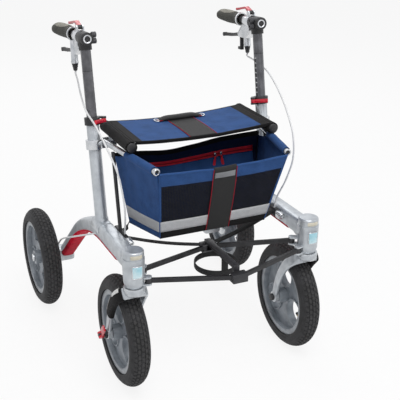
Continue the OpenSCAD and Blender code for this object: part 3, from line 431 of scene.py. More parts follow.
def base(name, colour, rough, metal=0.0, **sockets):
    """A named material with its constants on the shader."""
    m = bpy.data.materials.new(name)
    m.use_nodes = True
    shader = m.node_tree.nodes["Principled BSDF"]
    m.diffuse_color = lin(colour)
    values = {"Base Color": lin(colour), "Roughness": rough, "Metallic": metal, **sockets}
    for key, value in values.items():
        shader.inputs[key].default_value = value
    return m, m.node_tree, shader


print("white is", lin("#ffffff"))

# %% [markdown]
# ## Hard finishes
# A lacquer, a moulding or an anodised tube is never one even tone: it has faint patches, a fine grain and
# edges rubbed lighter. Noise in object space gives the patches and the grain, and the mesh's pointiness
# finds the edges. The real grain is finer than a pixel, so it is drawn about a millimetre wide to show at
# all.

# %% lacquer, metal and moulded plastic
TONE_SPOT, GLOSS_SPOT, SCUFF_SPOT = 28, 9, 4  # millimetres: patches of tone, of gloss and of wear
TONE_FROM, TONE_TO, WORN_FROM, WORN_TO = 0.35, 0.65, 0.53, 0.6


def painted(name, low, high, rough, metal, grain, depth, wear=None, **sockets):
    """Metal, paint or moulded plastic: uneven tone, fine grain and lighter worn edges."""
    m, tree, shader = base(name, high, rough[1], metal, **sockets)
    where = {"Vector": add(tree, "TexCoord", "Object")}
    patches = add(tree, "TexNoise", "Fac", {"Scale": 1 / (TONE_SPOT * MM), "Detail": 4.0}, where)
    tone = add(tree, "ValToRGB", "Color", None, {"Fac": patches}, ((TONE_FROM, low), (TONE_TO, high)))
    if wear:
        edge = add(tree, "NewGeometry", "Pointiness")
        mask = add(tree, "MapRange", "Result", {"From Min": WORN_FROM, "From Max": WORN_TO}, {"Value": edge})
        rubbed = add(tree, "TexNoise", "Fac", {"Scale": 1 / (SCUFF_SPOT * MM), "Detail": 4.0}, where)
        scuff = add(tree, "Math", "Value", None, {0: mask, 1: rubbed}, operation="MULTIPLY")
        tone = add(tree, "MixRGB", "Color", {"Color2": lin(wear)}, {"Fac": scuff, "Color1": tone})
    dull = add(tree, "TexNoise", "Fac", {"Scale": 1 / (GLOSS_SPOT * MM), "Detail": 4.0}, where)
    gloss = add(tree, "MapRange", "Result", {"To Min": rough[0], "To Max": rough[1]}, {"Value": dull})
    fine = add(tree, "TexNoise", "Fac", {"Scale": 1 / (grain * MM), "Detail": 2.0}, where)
    relief = add(tree, "Bump", "Normal", {"Strength": 1.0, "Distance": depth * MM}, {"Height": fine})
    tree.links.new(tone, shader.inputs["Base Color"])
    tree.links.new(gloss, shader.inputs["Roughness"])
    tree.links.new(relief, shader.inputs["Normal"])
    return m


print("patches of", TONE_SPOT, "mm, wear in spots of", SCUFF_SPOT, "mm")

# %% [markdown]
# ## Cloth and webbing
# Bag cloth is a plain weave, and webbing, tape and zips have ribs one way. Two wave textures across the UVs
# cross for the weave, and one gives the ribs. The UVs are in millimetres, so pitch is the spacing of
# threads or ribs. Real threads are 0.3 mm apart: they are drawn about three times as coarse, to show in the
# render.

# %% weave and ribs
ONE_RIB = 2 * math.pi / 20  # scale at which the wave texture has one rib per unit
PANEL_SPOT, TAPE_SPOT = 35, 12  # millimetres: faded patches on a panel and on a tape
CLOTH_SPECULAR = 0.15  # loose fibres mirror far less of the white room than plastic does
# where the darkest and the lightest tone lie in the pattern, and how roughness varies with it
WEAVE_FROM, WEAVE_TO, WEAVE_SMOOTHER, WEAVE_ROUGHER = 0.3, 1.0, 0.1, 0.08
RIB_FROM, RIB_TO, RIB_SMOOTHER, RIB_ROUGHER = 0.1, 0.7, 0.08, 0.1


def woven(name, low, high, pitch, depth, rough=0.85, sheen=0.04):
    """Plain-woven cloth: two sets of threads crossing, with a soft change of tone over the panel."""
    soft = {"Sheen Weight": sheen, "Sheen Roughness": 0.5, "Specular IOR Level": CLOTH_SPECULAR}
    m, tree, shader = base(name, high, rough, **soft)
    where = {"Vector": add(tree, "TexCoord", "UV")}
    scale = {"Scale": ONE_RIB / pitch}
    warp, weft = (add(tree, "TexWave", "Fac", scale, where, bands_direction=way) for way in ("X", "Y"))
    cross = add(tree, "Math", "Value", None, {0: warp, 1: weft}, operation="MULTIPLY")
    faded = add(tree, "TexNoise", "Fac", {"Scale": 1 / PANEL_SPOT, "Detail": 3.0}, where)
    mixed = add(tree, "Math", "Value", None, {0: cross, 1: faded}, operation="ADD")
    tone = add(tree, "ValToRGB", "Color", None, {"Fac": mixed}, ((WEAVE_FROM, low), (WEAVE_TO, high)))
    limits = {"To Min": rough - WEAVE_SMOOTHER, "To Max": rough + WEAVE_ROUGHER}
    gloss = add(tree, "MapRange", "Result", limits, {"Value": cross})
    relief = add(tree, "Bump", "Normal", {"Strength": 1.0, "Distance": depth * MM}, {"Height": cross})
    tree.links.new(tone, shader.inputs["Base Color"])
    tree.links.new(gloss, shader.inputs["Roughness"])
    tree.links.new(relief, shader.inputs["Normal"])
    return m


def ribbed(name, low, high, pitch, depth, direction="Y", rough=0.7):
    """Webbing, tape or a ribbed sleeve: even ribs one way, fine threads over them."""
    m, tree, shader = base(name, high, rough)
    where = {"Vector": add(tree, "TexCoord", "UV")}
    ribs = add(tree, "TexWave", "Fac", {"Scale": ONE_RIB / pitch}, where, bands_direction=direction)
    faded = add(tree, "TexNoise", "Fac", {"Scale": 1 / TAPE_SPOT, "Detail": 3.0}, where)
    mixed = add(tree, "Math", "Value", None, {0: ribs, 1: faded}, operation="MULTIPLY")
    tone = add(tree, "ValToRGB", "Color", None, {"Fac": mixed}, ((RIB_FROM, low), (RIB_TO, high)))
    limits = {"To Min": rough - RIB_SMOOTHER, "To Max": rough + RIB_ROUGHER}
    gloss = add(tree, "MapRange", "Result", limits, {"Value": ribs})
    relief = add(tree, "Bump", "Normal", {"Strength": 1.0, "Distance": depth * MM}, {"Height": ribs})
    tree.links.new(tone, shader.inputs["Base Color"])
    tree.links.new(gloss, shader.inputs["Roughness"])
    tree.links.new(relief, shader.inputs["Normal"])
    return m


print("a 1 mm weave has a wave scale of", round(ONE_RIB, 3))

# %% [markdown]
# ## The metals
# The frame is aluminium tube under a satin silver lacquer, the height tubes are anodised, and the fold
# links are coated steel. A lacquer with metal flakes lies between paint and metal, so its metallic value
# does too.

# %% metals
# satin lacquer with fine flakes on aluminium: a soft, cool, broad highlight
SILVER = painted("satin_silver_lacquer", "#aeb3b8", "#c5cace", (0.28, 0.38), 0.52, 0.7, 0.012, "#dcdfe1")
# polished bare aluminium: small parts that mirror the room
BRIGHT = painted("polished_aluminium", "#b4b8bc", "#cfd1d4", (0.16, 0.28), 0.85, 1.2, 0.02, "#f0f0f0")
# anodised aluminium, drawn with flutes: a dark sheen along the tube
DARK = painted("dark_anodised_tube", "#545457", "#6c6c70", (0.24, 0.34), 0.65, 0.6, 0.03, "#85858c")
# powder coat on steel: black and faintly grained, rubbed grey at the edges
STEEL = painted("black_coated_steel", "#1a1a1c", "#2a2a2d", (0.36, 0.5), 0.2, 0.9, 0.05, "#5c5c60")
# turned brass: a warm glint at each valve
BRASS = painted("brass_valve", "#a8843e", "#c9a557", (0.24, 0.36), 0.9, 0.8, 0.03)
# lip of a moulded rim, painted lighter as a highlight: a thin bright line round the disc
RIM_EDGE_HIGHLIGHT = painted("rim_edge_painted_highlight", "#84898e", "#9a9fa4", (0.3, 0.4), 0.3, 1.0, 0.03)
print(len(bpy.data.materials), "materials so far")

# %% [markdown]
# ## Paint, plastic and rubber
# Levers and catches are red so that they are found at once. Collars, heads and plugs are moulded with a
# spark finish, which breaks the highlight up, and rubber is duller still. Only the lacquered levers and the
# reflectors have a clear coat.

# %% paint, plastic and rubber
# moulded nylon with a spark-eroded finish: black, half dull
BLACK = painted("black_moulded_plastic", "#161617", "#242426", (0.42, 0.58), 0.0, 1.1, 0.12, "#3a3a3c")
# gloss lacquer on die-cast levers: clear red with a tight highlight
RED = painted("red_gloss_lacquer", "#bd1027", "#d81831", (0.2, 0.3), 0.0, 1.5, 0.02, **{"Coat Weight": 0.2})
# matt vinyl strip under the beam: the same red without the shine
INLAY = painted("red_matt_strip", "#bf112d", "#d81836", (0.6, 0.72), 0.0, 1.5, 0.02,
                **{"Specular IOR Level": 0.12})
# carbon-black rubber, vulcanised in a mould: nearly no highlight, greyer on the tread's edges
TYRE = painted("tyre_rubber", "#252526", "#353537", (0.72, 0.88), 0.0, 1.3, 0.15, "#4b4a48")
# glass-filled nylon of the wheel discs: cool grey, a little satin
RIM = painted("grey_rim_plastic", "#7a8188", "#959ca3", (0.36, 0.48), 0.1, 1.2, 0.06, "#989da2")
# soft grip rubber: brownish black and very dull
GRIP = painted("grip_rubber", "#34342f", "#45453f", (0.68, 0.82), 0.0, 1.4, 0.2, "#5d554e")
# pad pressed into the grip's top: pale, with cross ribs
PAD = ribbed("grip_pad_rubber", "#85837a", "#aaa79b", 3.0, 0.5, "Y", 0.75)
# clear reflector over a prism sheet: pale blue and very glossy
REFLECTOR = painted("clear_reflector", "#a5d6e3", "#dcf0f4", (0.08, 0.2), 0.1, 2.2, 0.35,
                    **{"Coat Weight": 0.6})
# ivory ABS insert in the head cap's window: a pale, half-glossy spot
WINDOW = painted("beige_window_plastic", "#cfc8b4", "#e2dccb", (0.3, 0.42), 0.0, 0.9, 0.03)
# printed height marks and the fork sleeve's edge: flat white
TICK = painted("white_marking_paint", "#dcdcda", "#f2f2f0", (0.5, 0.62), 0.0, 0.8, 0.02)
# plastic liner of the brake cable: pale and smooth, with faint turns of wire under it
SLEEVE = ribbed("pale_cable_sleeve", "#e2e3e4", "#f5f5f5", 2.2, 0.06, "Y", 0.4)
# seamless paper under the object: white and dull
FLOOR = painted("pale_studio_floor", "#f8f8f9", "#fcfcfc", (0.8, 0.9), 0.0, 40, 0.02)
print(len(bpy.data.materials), "materials so far")

# %% [markdown]
# ## Fabrics
# The seat and the basket are coated polyester, in blue and black, trimmed with red piping. Polyester is
# dull and dark in the folds, so these materials have a low specular level and just a breath of sheen.

# %% fabrics
# polyester pack cloth, dyed blue: dull, deep panels with a fine weave
BLUE = woven("blue_polyester_weave", "#21406d", "#365b95", 0.9, 0.12)
# the blue weave painted darker as shade: the rear wall and the lining behind the net, inside the basket
BLUE_SHADE = woven("blue_weave_painted_shade", "#0d1730", "#152346", 0.9, 0.1)
# the same cloth in black: hems, sleeves and a basket foot that stay dark
BLACK_CLOTH = woven("black_polyester_weave", "#0c0c0d", "#171617", 1.0, 0.14)
# nylon webbing: black with fine cross ribs
WEB = ribbed("black_webbing", "#0b0b0c", "#1b1b1d", 1.7, 0.3)
# knitted net: thin black cords that veil the lining
NET = painted("black_net_cord", "#101012", "#1f1f22", (0.7, 0.85), 0.0, 0.6, 0.05)
# woven patch on the front strap: a plain grey field between the red lines
PATCH = woven("grey_woven_patch", "#6f7174", "#9b9da0", 1.1, 0.1)
# reflective tape: pale grey with a fine diagonal ruling
BAND = ribbed("grey_reflective_tape", "#aeb0b3", "#cdced0", 1.2, 0.06, "DIAGONAL", 0.45)
# piping of bias-cut tape over a cord: a thin red line along the seams
PIPING = woven("red_piping", "#8f1226", "#b81b33", 0.8, 0.1, 0.7)
# zip tape and pulls: the brightest red, since they lie in the basket's shade
ZIP = ribbed("red_zip_tape", "#e4142e", "#ff3a52", 1.6, 0.35)
print(len(bpy.data.materials), "materials in all")

# %% [markdown]
# ## Floor and backdrop
# The object stood on white paper. More light would bleach it, so the rays that only show the backdrop see
# it as white, and the floor keeps a share of its own shading for the soft shadow.

# %% floor and backdrop
ROOM_LIGHT, WHITE_SHARE, FLOOR_HALF = 0.42, 0.87, 16000
ROOM_WHITE, PAPER_WHITE = "#fdfdff", "#ffffff"


def seen(tree):
    """1 for the rays that show the backdrop: from the camera, off gloss and through clear plastic."""
    shown = add(tree, "LightPath", "Is Camera Ray")
    for way in ("Is Glossy Ray", "Is Transmission Ray"):
        ray = add(tree, "LightPath", way)
        shown = add(tree, "Math", "Value", None, {0: shown, 1: ray}, operation="MAXIMUM")
    return shown


world = bpy.data.worlds.new("studio")
scene.world = world
world.use_nodes = True
tree = world.node_tree
sky = tree.nodes["Background"]
sky.inputs["Color"].default_value = lin(ROOM_WHITE)
level = add(tree, "MapRange", "Result", {"To Min": ROOM_LIGHT, "To Max": 1.0}, {"Value": seen(tree)})
tree.links.new(level, sky.inputs["Strength"])

tree = FLOOR.node_tree
glow = add(tree, "Emission", "Emission", {"Color": lin(PAPER_WHITE), "Strength": 1.0})
share = add(tree, "Math", "Value", {1: WHITE_SHARE}, {0: seen(tree)}, operation="MULTIPLY")
paper = tree.nodes["Principled BSDF"].outputs["BSDF"]
mixed = add(tree, "MixShader", "Shader", None, {0: share, 1: paper, 2: glow})
tree.links.new(mixed, tree.nodes["Material Output"].inputs["Surface"])
reach = (-FLOOR_HALF, FLOOR_HALF)
floor = piece("studio_floor", skin([[(x, y, 0) for x in reach] for y in reach]), FLOOR, None)
print("white floor and backdrop")

# %% [markdown]
# ## The rigid CAD pieces
# Castings, tubes, levers and rims keep their CAD shape. A real edge is never sharp, so a small Bevel rounds
# each one and catches the light. The mesh is welded first, because a bevel needs faces that share their
# edges.

# %% CAD finishes
FINISH = {
    "head_cap": SILVER, "head": SILVER, "upright": SILVER, "collar": BLACK, "collar_lever": RED,
    "seat_rail": BRIGHT, "stay": STEEL, "rear_axle": BRIGHT, "rear_rim": RIM, "front_rim": RIM,
    "front_axle": STEEL, "axle_lever": RED, "handle_head": BLACK, "brake_body": BRIGHT,
    "brake_lever": BLACK, "park_lever": RED,
}
EDGE = {"rear_rim": 1.0, "front_rim": 1.0, "handle_head": 1.5, "head": 0.8}
PLAIN_EDGE, LINK_EDGE, EDGE_ANGLE, WELD_GAP = 0.7, 0.8, math.radians(38), 1e-5
LINKS = ("rear_link_left", "rear_link_right", "front_link_left", "front_link_right",
         "centre_block", "front_block")
PARK_GRIP = 0.14  # share of the parking catch in front of its red grip


def finish(node, material, edge):
    """A CAD piece's material and rounded edges."""
    o = nodes[node]
    if not o.material_slots:
        o.data.materials.append(material)
    for place in o.material_slots:
        place.material = material
    o.data.polygons.foreach_set("use_smooth", [True] * len(o.data.polygons))
    modify(o, "WELD", merge_threshold=WELD_GAP)
    modify(o, "BEVEL", width=edge * MM, segments=2, limit_method="ANGLE", angle_limit=EDGE_ANGLE,
           harden_normals=True)


for side in SIDES:
    for kind, material in FINISH.items():
        finish(f"{side}_{kind}", material, EDGE.get(kind, PLAIN_EDGE))
    lever = nodes[f"{side}_park_lever"]
    lever.data.materials.append(BLACK)
    along = [face.center.y for face in lever.data.polygons]
    for face in lever.data.polygons:
        face.material_index = 1 if face.center.y < lerp(min(along), max(along), PARK_GRIP) else 0
for node in LINKS:
    finish(node, STEEL, LINK_EDGE)
print("finished", len(SIDES) * len(FINISH) + len(LINKS), "CAD pieces")

# %% [markdown]
# ## Cables as tubes
# Each route gets a round skin that rides on the frame. The hand cable's span shortens with the height of the
# handle; a simulation could bow it out, but here each cable keeps the curve it is drawn with.

for side, s in SIDES.items():
    body = f"{side}_frame"
    hand = piece(f"{side}_hand_cable", tube(hand_path[side], CABLE_D / 2), SLEEVE, body)
    hub = piece(f"{side}_hub_cable", tube(hub_path[side], CABLE_D / 2), SLEEVE, body)
    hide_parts(f"{side}_brake_cable")
    foot = hand_path[side][-1] * MM
    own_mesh(hand)
    for cable, path, lay in ((hand, hand_path[side], "hanging"), (hub, hub_path[side], "taut")):
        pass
print("4 cable runs")

# %% [markdown]
# ## Tyres
# The wheels have air tyres with a block tread: five rows of staggered blocks, parted by four grooves, ribbed
# walls and a bead that sits in the rim's channel. Displacement could press a tread into a torus, but its
# blocks would blur. Here each step round the tyre is one row of points, cut in where a groove runs, and one
# mesh serves all four wheels.

# %% tyre shape
TYRE_R, TYRE_MID, TREAD_DEEP, TYRE_STEPS, TYRE_SHARP = 28.5, 127.5, 2.6, 360, 28
# degrees to a side of the crown: rows of points, two grooves, the end of the tread and the rib on the wall
TREAD_AT = [0, 8, 9.5, 12.5, 14, 27, 28.5, 31.5, 33, 48, 51, 60, 66, 67.5, 70.5, 72, 84, 96, 109]
GROOVES, SHOULDER, WALL_RIB, RIB_HIGH = ((9, 13), (28, 32)), 50, (67, 71), 0.6
# blocks and gaps in steps round the tyre, and the gaps' share of the grooves' depth
BLOCK_STEPS, GAP_STEPS, LANE_SHIFT, GAP_SHARE = 6, 2, 3, 0.8
BEAD = [(118.7, 24.0), (118.7, 16.8), (109.5, 16.4), (109.5, -16.4), (118.7, -16.8), (118.7, -24.0)]


def tread_depth(a, step):
    """How far the surface is cut below the round of the tyre, at a degrees from the crown."""
    a = abs(a)
    if a > SHOULDER:
        return -RIB_HIGH if WALL_RIB[0] < a < WALL_RIB[1] else 0.0
    if any(low < a < high for low, high in GROOVES):
        return TREAD_DEEP
    lane = sum(a >= low for low, _ in GROOVES)
    return TREAD_DEEP * GAP_SHARE if (step + LANE_SHIFT * lane) % BLOCK_STEPS < GAP_STEPS else 0.0


def tyre_skin():
    """The whole tyre about the X axis."""
    angles = [-a for a in reversed(TREAD_AT[1:])] + TREAD_AT
    rows = []
    for k in range(TYRE_STEPS):
        t = 2 * math.pi * k / TYRE_STEPS
        row = []
        for a in angles:
            h = TYRE_R - tread_depth(a, k)
            row.append((TYRE_MID + h * math.cos(math.radians(a)), h * math.sin(math.radians(a))))
        rows.append([(x, r * math.cos(t), r * math.sin(t)) for r, x in row + BEAD])
    return skin(rows + rows[:1], wrap=True)


print(TYRE_STEPS // BLOCK_STEPS, "blocks round each row")

# %% four tyres
WHEELS = {"front": (FRAME_X, FRONT_Y), "rear": (REAR_X, REAR_Y)}

shared = None
for side, s in SIDES.items():
    for end, (x, y) in WHEELS.items():
        if shared is None:
            o = piece(f"{side}_{end}_treaded_tyre", tyre_skin(), TYRE, None, smooth=TYRE_SHARP)
            shared = o.data
        else:
            o = bpy.data.objects.new(f"{side}_{end}_treaded_tyre", shared)
            scene.collection.objects.link(o)
        o.location = (s * x * MM, y * MM, AXLE_Z * MM)
        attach(o, f"{side}_{end}_wheel")
        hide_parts(f"{side}_{end}_tyre")
print("tyre mesh has", len(shared.polygons), "faces")

# %% [markdown]
# ## Beams
# The arched beam is a hydroformed tube: deep at the head, slimmer at the rear axle, straight at first and
# then bent down in one arc. A bevelled curve would keep one section, so squarish outlines that change
# evenly are carried along the path. A red strip wraps its underside and shows most where the beam comes
# down.

# %% the beam's line and section
FLAT_Y, TURN = HEAD_Y + 192, math.radians(40)
ARC_R = ((REAR_Y - FLAT_Y) * math.tan(TURN) - (BEAM_Z - AXLE_Z)) / (1 / math.cos(TURN) - 1)
ARC_Y, ARC_Z = FLAT_Y + ARC_R * math.sin(TURN), BEAM_Z - ARC_R * (1 - math.cos(TURN))
# the beam's start, and how far short of the axle and above it the line ends
BEAM_FROM, BEAM_SHORT, BEAM_RISE = HEAD_Y + 6, 4, 3
FLAT_STEPS, ARC_STEPS, TAIL_STEPS = 10, 28, 10
BEAM_POWER = 4.2
BEAM_HALF_X, BEAM_HALF_Z = (21.5, 18.5), (24, 18)  # at the head and at the axle


def beam_path(x):
    """The beam's middle line at x across the width."""
    path = [(x, lerp(BEAM_FROM, FLAT_Y, k / FLAT_STEPS), BEAM_Z) for k in range(FLAT_STEPS)]
    for k in range(ARC_STEPS + 1):
        t = TURN * k / ARC_STEPS
        path.append((x, FLAT_Y + ARC_R * math.sin(t), BEAM_Z - ARC_R * (1 - math.cos(t))))
    for k in range(1, TAIL_STEPS + 1):
        t = k / TAIL_STEPS
        path.append((x, lerp(ARC_Y, REAR_Y - BEAM_SHORT, t), lerp(ARC_Z, AXLE_Z + BEAM_RISE, t)))
    return path


def beam_half(share):
    """Half the beam's width and depth at a share of its length."""
    return lerp(*BEAM_HALF_X, ease(share)), lerp(*BEAM_HALF_Z, ease(share))


print("the beam's arc has a radius of", round(ARC_R), "mm")

# %% beams and red strips
FOOT_SIZE, FOOT_OUT, FOOT_SOFT = (59, 48, 42), 5.5, 6
# the gusset under the beam: back from the head, height, half width, half depth
GUSSET = ((24, 376, 13, 15), (50, 381, 13, 11), (74, 388, 12, 6))
STRIP_OUT, STRIP_IN, STRIP_STEPS, STRIP_FIRST = 1.9, 0.1, 16, 4
STRIP_HIGH, STRIP_LOW = 5, 30  # degrees below the beam's middle where it starts, at the rear and the head
STRIP_RISE_AT, STRIP_RISE_OVER = 0.5, 0.4  # shares of the beam over which it climbs


def under_strip(a, b, low):
    """The outline of a thin strip round a squarish beam's underside, from the angle low on either side."""
    out = []
    for grow, order in ((STRIP_OUT, range(STRIP_STEPS + 1)), (STRIP_IN, range(STRIP_STEPS, -1, -1))):
        for k in order:
            t = math.radians(lerp(low, 180 - low, k / STRIP_STEPS))
            c, d = rounded(math.cos(t), BEAM_POWER), rounded(math.sin(t), BEAM_POWER)
            out.append(((a + grow) * c, (b + grow) * d))
    return out


for side, s in SIDES.items():
    path = beam_path(s * FRAME_X)
    shares = [i / (len(path) - 1) for i in range(len(path))]
    outlines = [oval(*beam_half(t), 40, BEAM_POWER) for t in shares]
    foot = block((s * (FRAME_X + FOOT_OUT), REAR_Y, AXLE_Z), FOOT_SIZE, FOOT_SOFT)
    gusset = sweep([(s * FRAME_X, HEAD_Y + back, z) for back, z, _, _ in GUSSET],
                   [oval(a, b, 24, 4) for _, _, a, b in GUSSET])
    o = piece(f"{side}_arched_beam", merge(sweep(path, outlines), foot, gusset), SILVER, f"{side}_frame")
    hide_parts(f"{side}_beam")
    climbs = [ease((t - STRIP_RISE_AT) / STRIP_RISE_OVER) for t in shares]
    strips = [under_strip(*beam_half(t), lerp(STRIP_LOW, STRIP_HIGH, c)) for t, c in zip(shares, climbs)]
    strip = sweep(path[STRIP_FIRST:-1], strips[STRIP_FIRST:-1])
    inlay = piece(f"{side}_red_inlay", strip, INLAY, f"{side}_frame")
    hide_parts(f"{side}_beam_inlay")
print("2 beams,", len(path), "outlines each")

# %% [markdown]
# ## Height tubes
# The tubes that carry the handles are drawn with eight shallow flutes, which keep them from turning. They
# have a row of notches with white ticks for the height, and a dark ring line above them. A texture could
# show all this, but flutes in the section break the highlight as real ones do. The marks lie within the
# tube's clearance, so that they slide into the upright with it.

# %% fluted tubes
TUBE_R, MARK_R = 13.82, 13.94  # crests of the flutes, and marks that still slide into the upright
FLUTES, FLUTE_DEEP, FLUTE_STEEP, FLUTE_POINTS = 8, 0.8, 0.9, 96
TUBE_FROM, TUBE_TO, TUBE_STEPS = 178, 505, 12
LINE_AT, LINE_HALF, LINE_WIDE, LINE_ROOT = 432, 0.7, 0.9, 13.4

for side, s in SIDES.items():
    outline = []
    for k in range(FLUTE_POINTS):
        t = 2 * math.pi * k / FLUTE_POINTS
        r = TUBE_R - FLUTE_DEEP * ease(0.5 + FLUTE_STEEP * math.cos(FLUTES * t))
        outline.append((r * math.cos(t), r * math.sin(t)))
    path = [on_upright(s, 0, 0, lerp(TUBE_FROM, TUBE_TO, k / TUBE_STEPS)) for k in range(TUBE_STEPS + 1)]
    o = piece(f"{side}_fluted_tube", sweep(path, outline), DARK, f"{side}_handle")
    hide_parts(f"{side}_handle_tube")
    profile = [(LINE_ROOT, -LINE_WIDE), (MARK_R, -LINE_HALF), (MARK_R, LINE_HALF), (LINE_ROOT, LINE_WIDE)]
    line = ring(profile, on_upright(s, 0, 0, LINE_AT), path[1] - path[0], 64, True)
    piece(f"{side}_tube_line", line, BLACK, f"{side}_handle")
print("tubes with", FLUTES, "flutes")

# %% notches and ticks
NOTCHES, NOTCH_FROM, NOTCH_STEP, TICK_UP = 8, 314, 14, 7
NOTCH_ARC, NOTCH_HALF = range(-24, 13, 4), (0.55, 4.3)  # degrees round the tube, half thickness, half height
TICK_ARC, TICK_HALF = range(-30, 1, 5), (0.25, 0.8)


def tube_mark(s, t, degrees, half):
    """A flat mark round the tube's inner side, t up the upright, flush with the radius of the marks."""
    r = MARK_R - half[0]
    turns = [math.radians(q) for q in degrees]
    arc = [on_upright(s, -r * math.cos(q), r * math.sin(q), t) for q in turns]
    return sweep(arc, oval(*half, 16, 5), hint=(s, 0, 0))


for side, s in SIDES.items():
    places = [NOTCH_FROM + NOTCH_STEP * k for k in range(NOTCHES)]
    notches = [tube_mark(s, t, NOTCH_ARC, NOTCH_HALF) for t in places]
    ticks = [tube_mark(s, t + TICK_UP, TICK_ARC, TICK_HALF) for t in places]
    piece(f"{side}_height_notches", merge(*notches), BLACK, f"{side}_handle")
    piece(f"{side}_height_ticks", merge(*ticks), TICK, f"{side}_handle")
print(NOTCHES, "notches on each tube")

# %% [markdown]
# ## Grips
# The grip swells into a palm rest at its rear end, has a collar at the front and carries a softer pad on
# top. It could be sculpted, but a table of sections along the bar keeps its shape in plain numbers that can
# be changed.

# %% grips
GRIP_ROWS = [  # along the bar, half width, half height, sideways, up
    (104, 15.5, 15.5, 0, 0), (105, 18.4, 18.4, 0, 0), (109, 18.6, 18.6, 0, 0), (112, 17.0, 17.0, 0, 0),
    (127, 16.4, 16.8, 0, 0), (145, 17.2, 17.4, 0, 0), (162, 18.2, 17.6, 0.5, 0), (178, 19.8, 17.4, 1.5, 0.2),
    (194, 21.8, 16.8, 2.6, 0.6), (210, 23.0, 16.0, 3.4, 1.0), (223, 22.8, 15.4, 3.8, 1.2),
    (232, 20.6, 14.2, 3.6, 1.2), (237, 17.0, 12.4, 3.0, 1.0), (240, 11.6, 8.6, 2.0, 0.6),
    (241, 5.0, 4.0, 1.0, 0.2)]
GRIP_AT = [104, 105, 107, 109, 110.5, 112, 116, 122, 128, 135, 142, 149, 156, 163, 170, 177, 184, 191, 198,
           205, 211, 217, 222, 226, 230, 233, 235.5, 237.5, 239, 240.2, 241]
GRIP_POWER = 2.3


def grip_row(y):
    """The grip's section at y along the bar."""
    for a, b in zip(GRIP_ROWS, GRIP_ROWS[1:]):
        if a[0] <= y <= b[0]:
            t = ease((y - a[0]) / (b[0] - a[0]))
            return [lerp(p, q, t) for p, q in zip(a, b)]


for side, s in SIDES.items():
    rows = []
    for y in GRIP_AT:
        _, a, b, dx, dz = grip_row(y)
        rows.append([on_bar(s, dx + px, y, dz + pz) for px, pz in oval(a, b, 40, GRIP_POWER)])
    o = piece(f"{side}_shaped_grip", skin(rows, wrap=True, cap=True), GRIP, f"{side}_handle",
              smooth=SOFT)
    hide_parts(f"{side}_grip")
print("2 grips of", GRIP_AT[-1] - GRIP_AT[0], "mm")

# %% grip pads and clamp rings
PAD_FROM, PAD_TO, PAD_STEPS, PAD_HALF, PAD_THICK = 136, 231, 16, 8, 1.4
PAD_REACH, PAD_SIDE, PAD_TOP, PAD_LIFT = 52, 0.7, 0.9, 0.2  # degrees to either side, rise off the grip
PAD_BLUNT = 1.5  # steps cut off the pad's pointed ends
CLAMP_AT = 99.5
CLAMP = [(16, -4), (18.4, -4), (19.2, -3), (19.2, 3), (18.4, 4), (16, 4)]

for side, s in SIDES.items():
    rows = []
    for k in range(PAD_STEPS + 1):
        y = lerp(PAD_FROM, PAD_TO, k / PAD_STEPS)
        _, a, b, dx, dz = grip_row(y)
        reach = PAD_REACH * math.sin(math.pi * (k + PAD_BLUNT) / (PAD_STEPS + 2 * PAD_BLUNT)) ** 0.5
        turns = [math.radians(reach * j / PAD_HALF) for j in range(-PAD_HALF, PAD_HALF + 1)]
        a, b, dz = a + PAD_SIDE, b + PAD_TOP, dz + PAD_LIFT
        rows.append([on_bar(s, dx + a * math.sin(t), y, dz + b * math.cos(t)) for t in turns])
    cloth(piece(f"{side}_grip_pad", skin(rows), PAD, f"{side}_handle", smooth=SOFT), PAD_THICK)
    clamp = ring(CLAMP, on_bar(s, 0, CLAMP_AT, 0), bar_axis(s), 48, True)
    piece(f"{side}_grip_clamp", clamp, BRIGHT, f"{side}_handle")
print("2 pads and 2 clamp rings")

# %% [markdown]
# ## Trim of the handle heads
# Each head casting has a bright ring and a plug at its front end, two knurled clamp bolts at its side and a
# ribbed black boot where the cable comes out. All of them are turned parts, so each is a profile turned
# about an axis. Only the knurl needs rows of its own.

# %% head rings, plugs and boots
HEAD_FACE = -26  # the head's front end, along the bar
HEAD_RING = [(8.0, 0.4), (8.0, -1.4), (9.2, -2.3), (10.8, -2.3), (11.8, -1.2), (11.8, 0.4)]
HEAD_PLUG = [(0, -1.0), (3.6, -1.1), (4.2, -0.4), (6.0, -0.4), (6.6, -1.2), (7.9, -1.2), (7.9, 0.2), (0, 0.2)]
BOOT_AT = (8, 77, -76)
BOOT = [(8.3, 0.6), (8.9, -0.6), (8.9, -4.0), (8.0, -5.0), (7.4, -9.0), (7.9, -10.2), (6.6, -11.4),
        (6.0, -15.0), (6.4, -16.2), (4.6, -20.6), (3.0, -21.0)]
BOLT_AT, BOLT_X, BOLT_Y, BOLT_POINTS = (8.5, -7.5), -14.5, -9, 32
BOLT = ((0, 5.2), (1.5, 5.4), (2, 7.2), (13.5, 7.2), (14.5, 6.2), (14.5, 3.4), (12.5, 3.2), (12.5, 0.05))
KNURL, KNURL_FROM, BOLT_SHARP = 0.5, 5.5, 30  # rise of every other point, from this radius on


def knurled_bolt(s, z):
    """A clamp bolt's head that stands out sideways from the head casting."""
    rows = []
    for h, r in BOLT:
        row = []
        for q in range(BOLT_POINTS):
            t = 2 * math.pi * q / BOLT_POINTS
            rim = r + (KNURL if q % 2 and r > KNURL_FROM else 0)
            row.append(on_bar(s, BOLT_X - h, BOLT_Y + rim * math.cos(t), z + rim * math.sin(t)))
        rows.append(row)
    return skin(rows, wrap=True, cap=True)


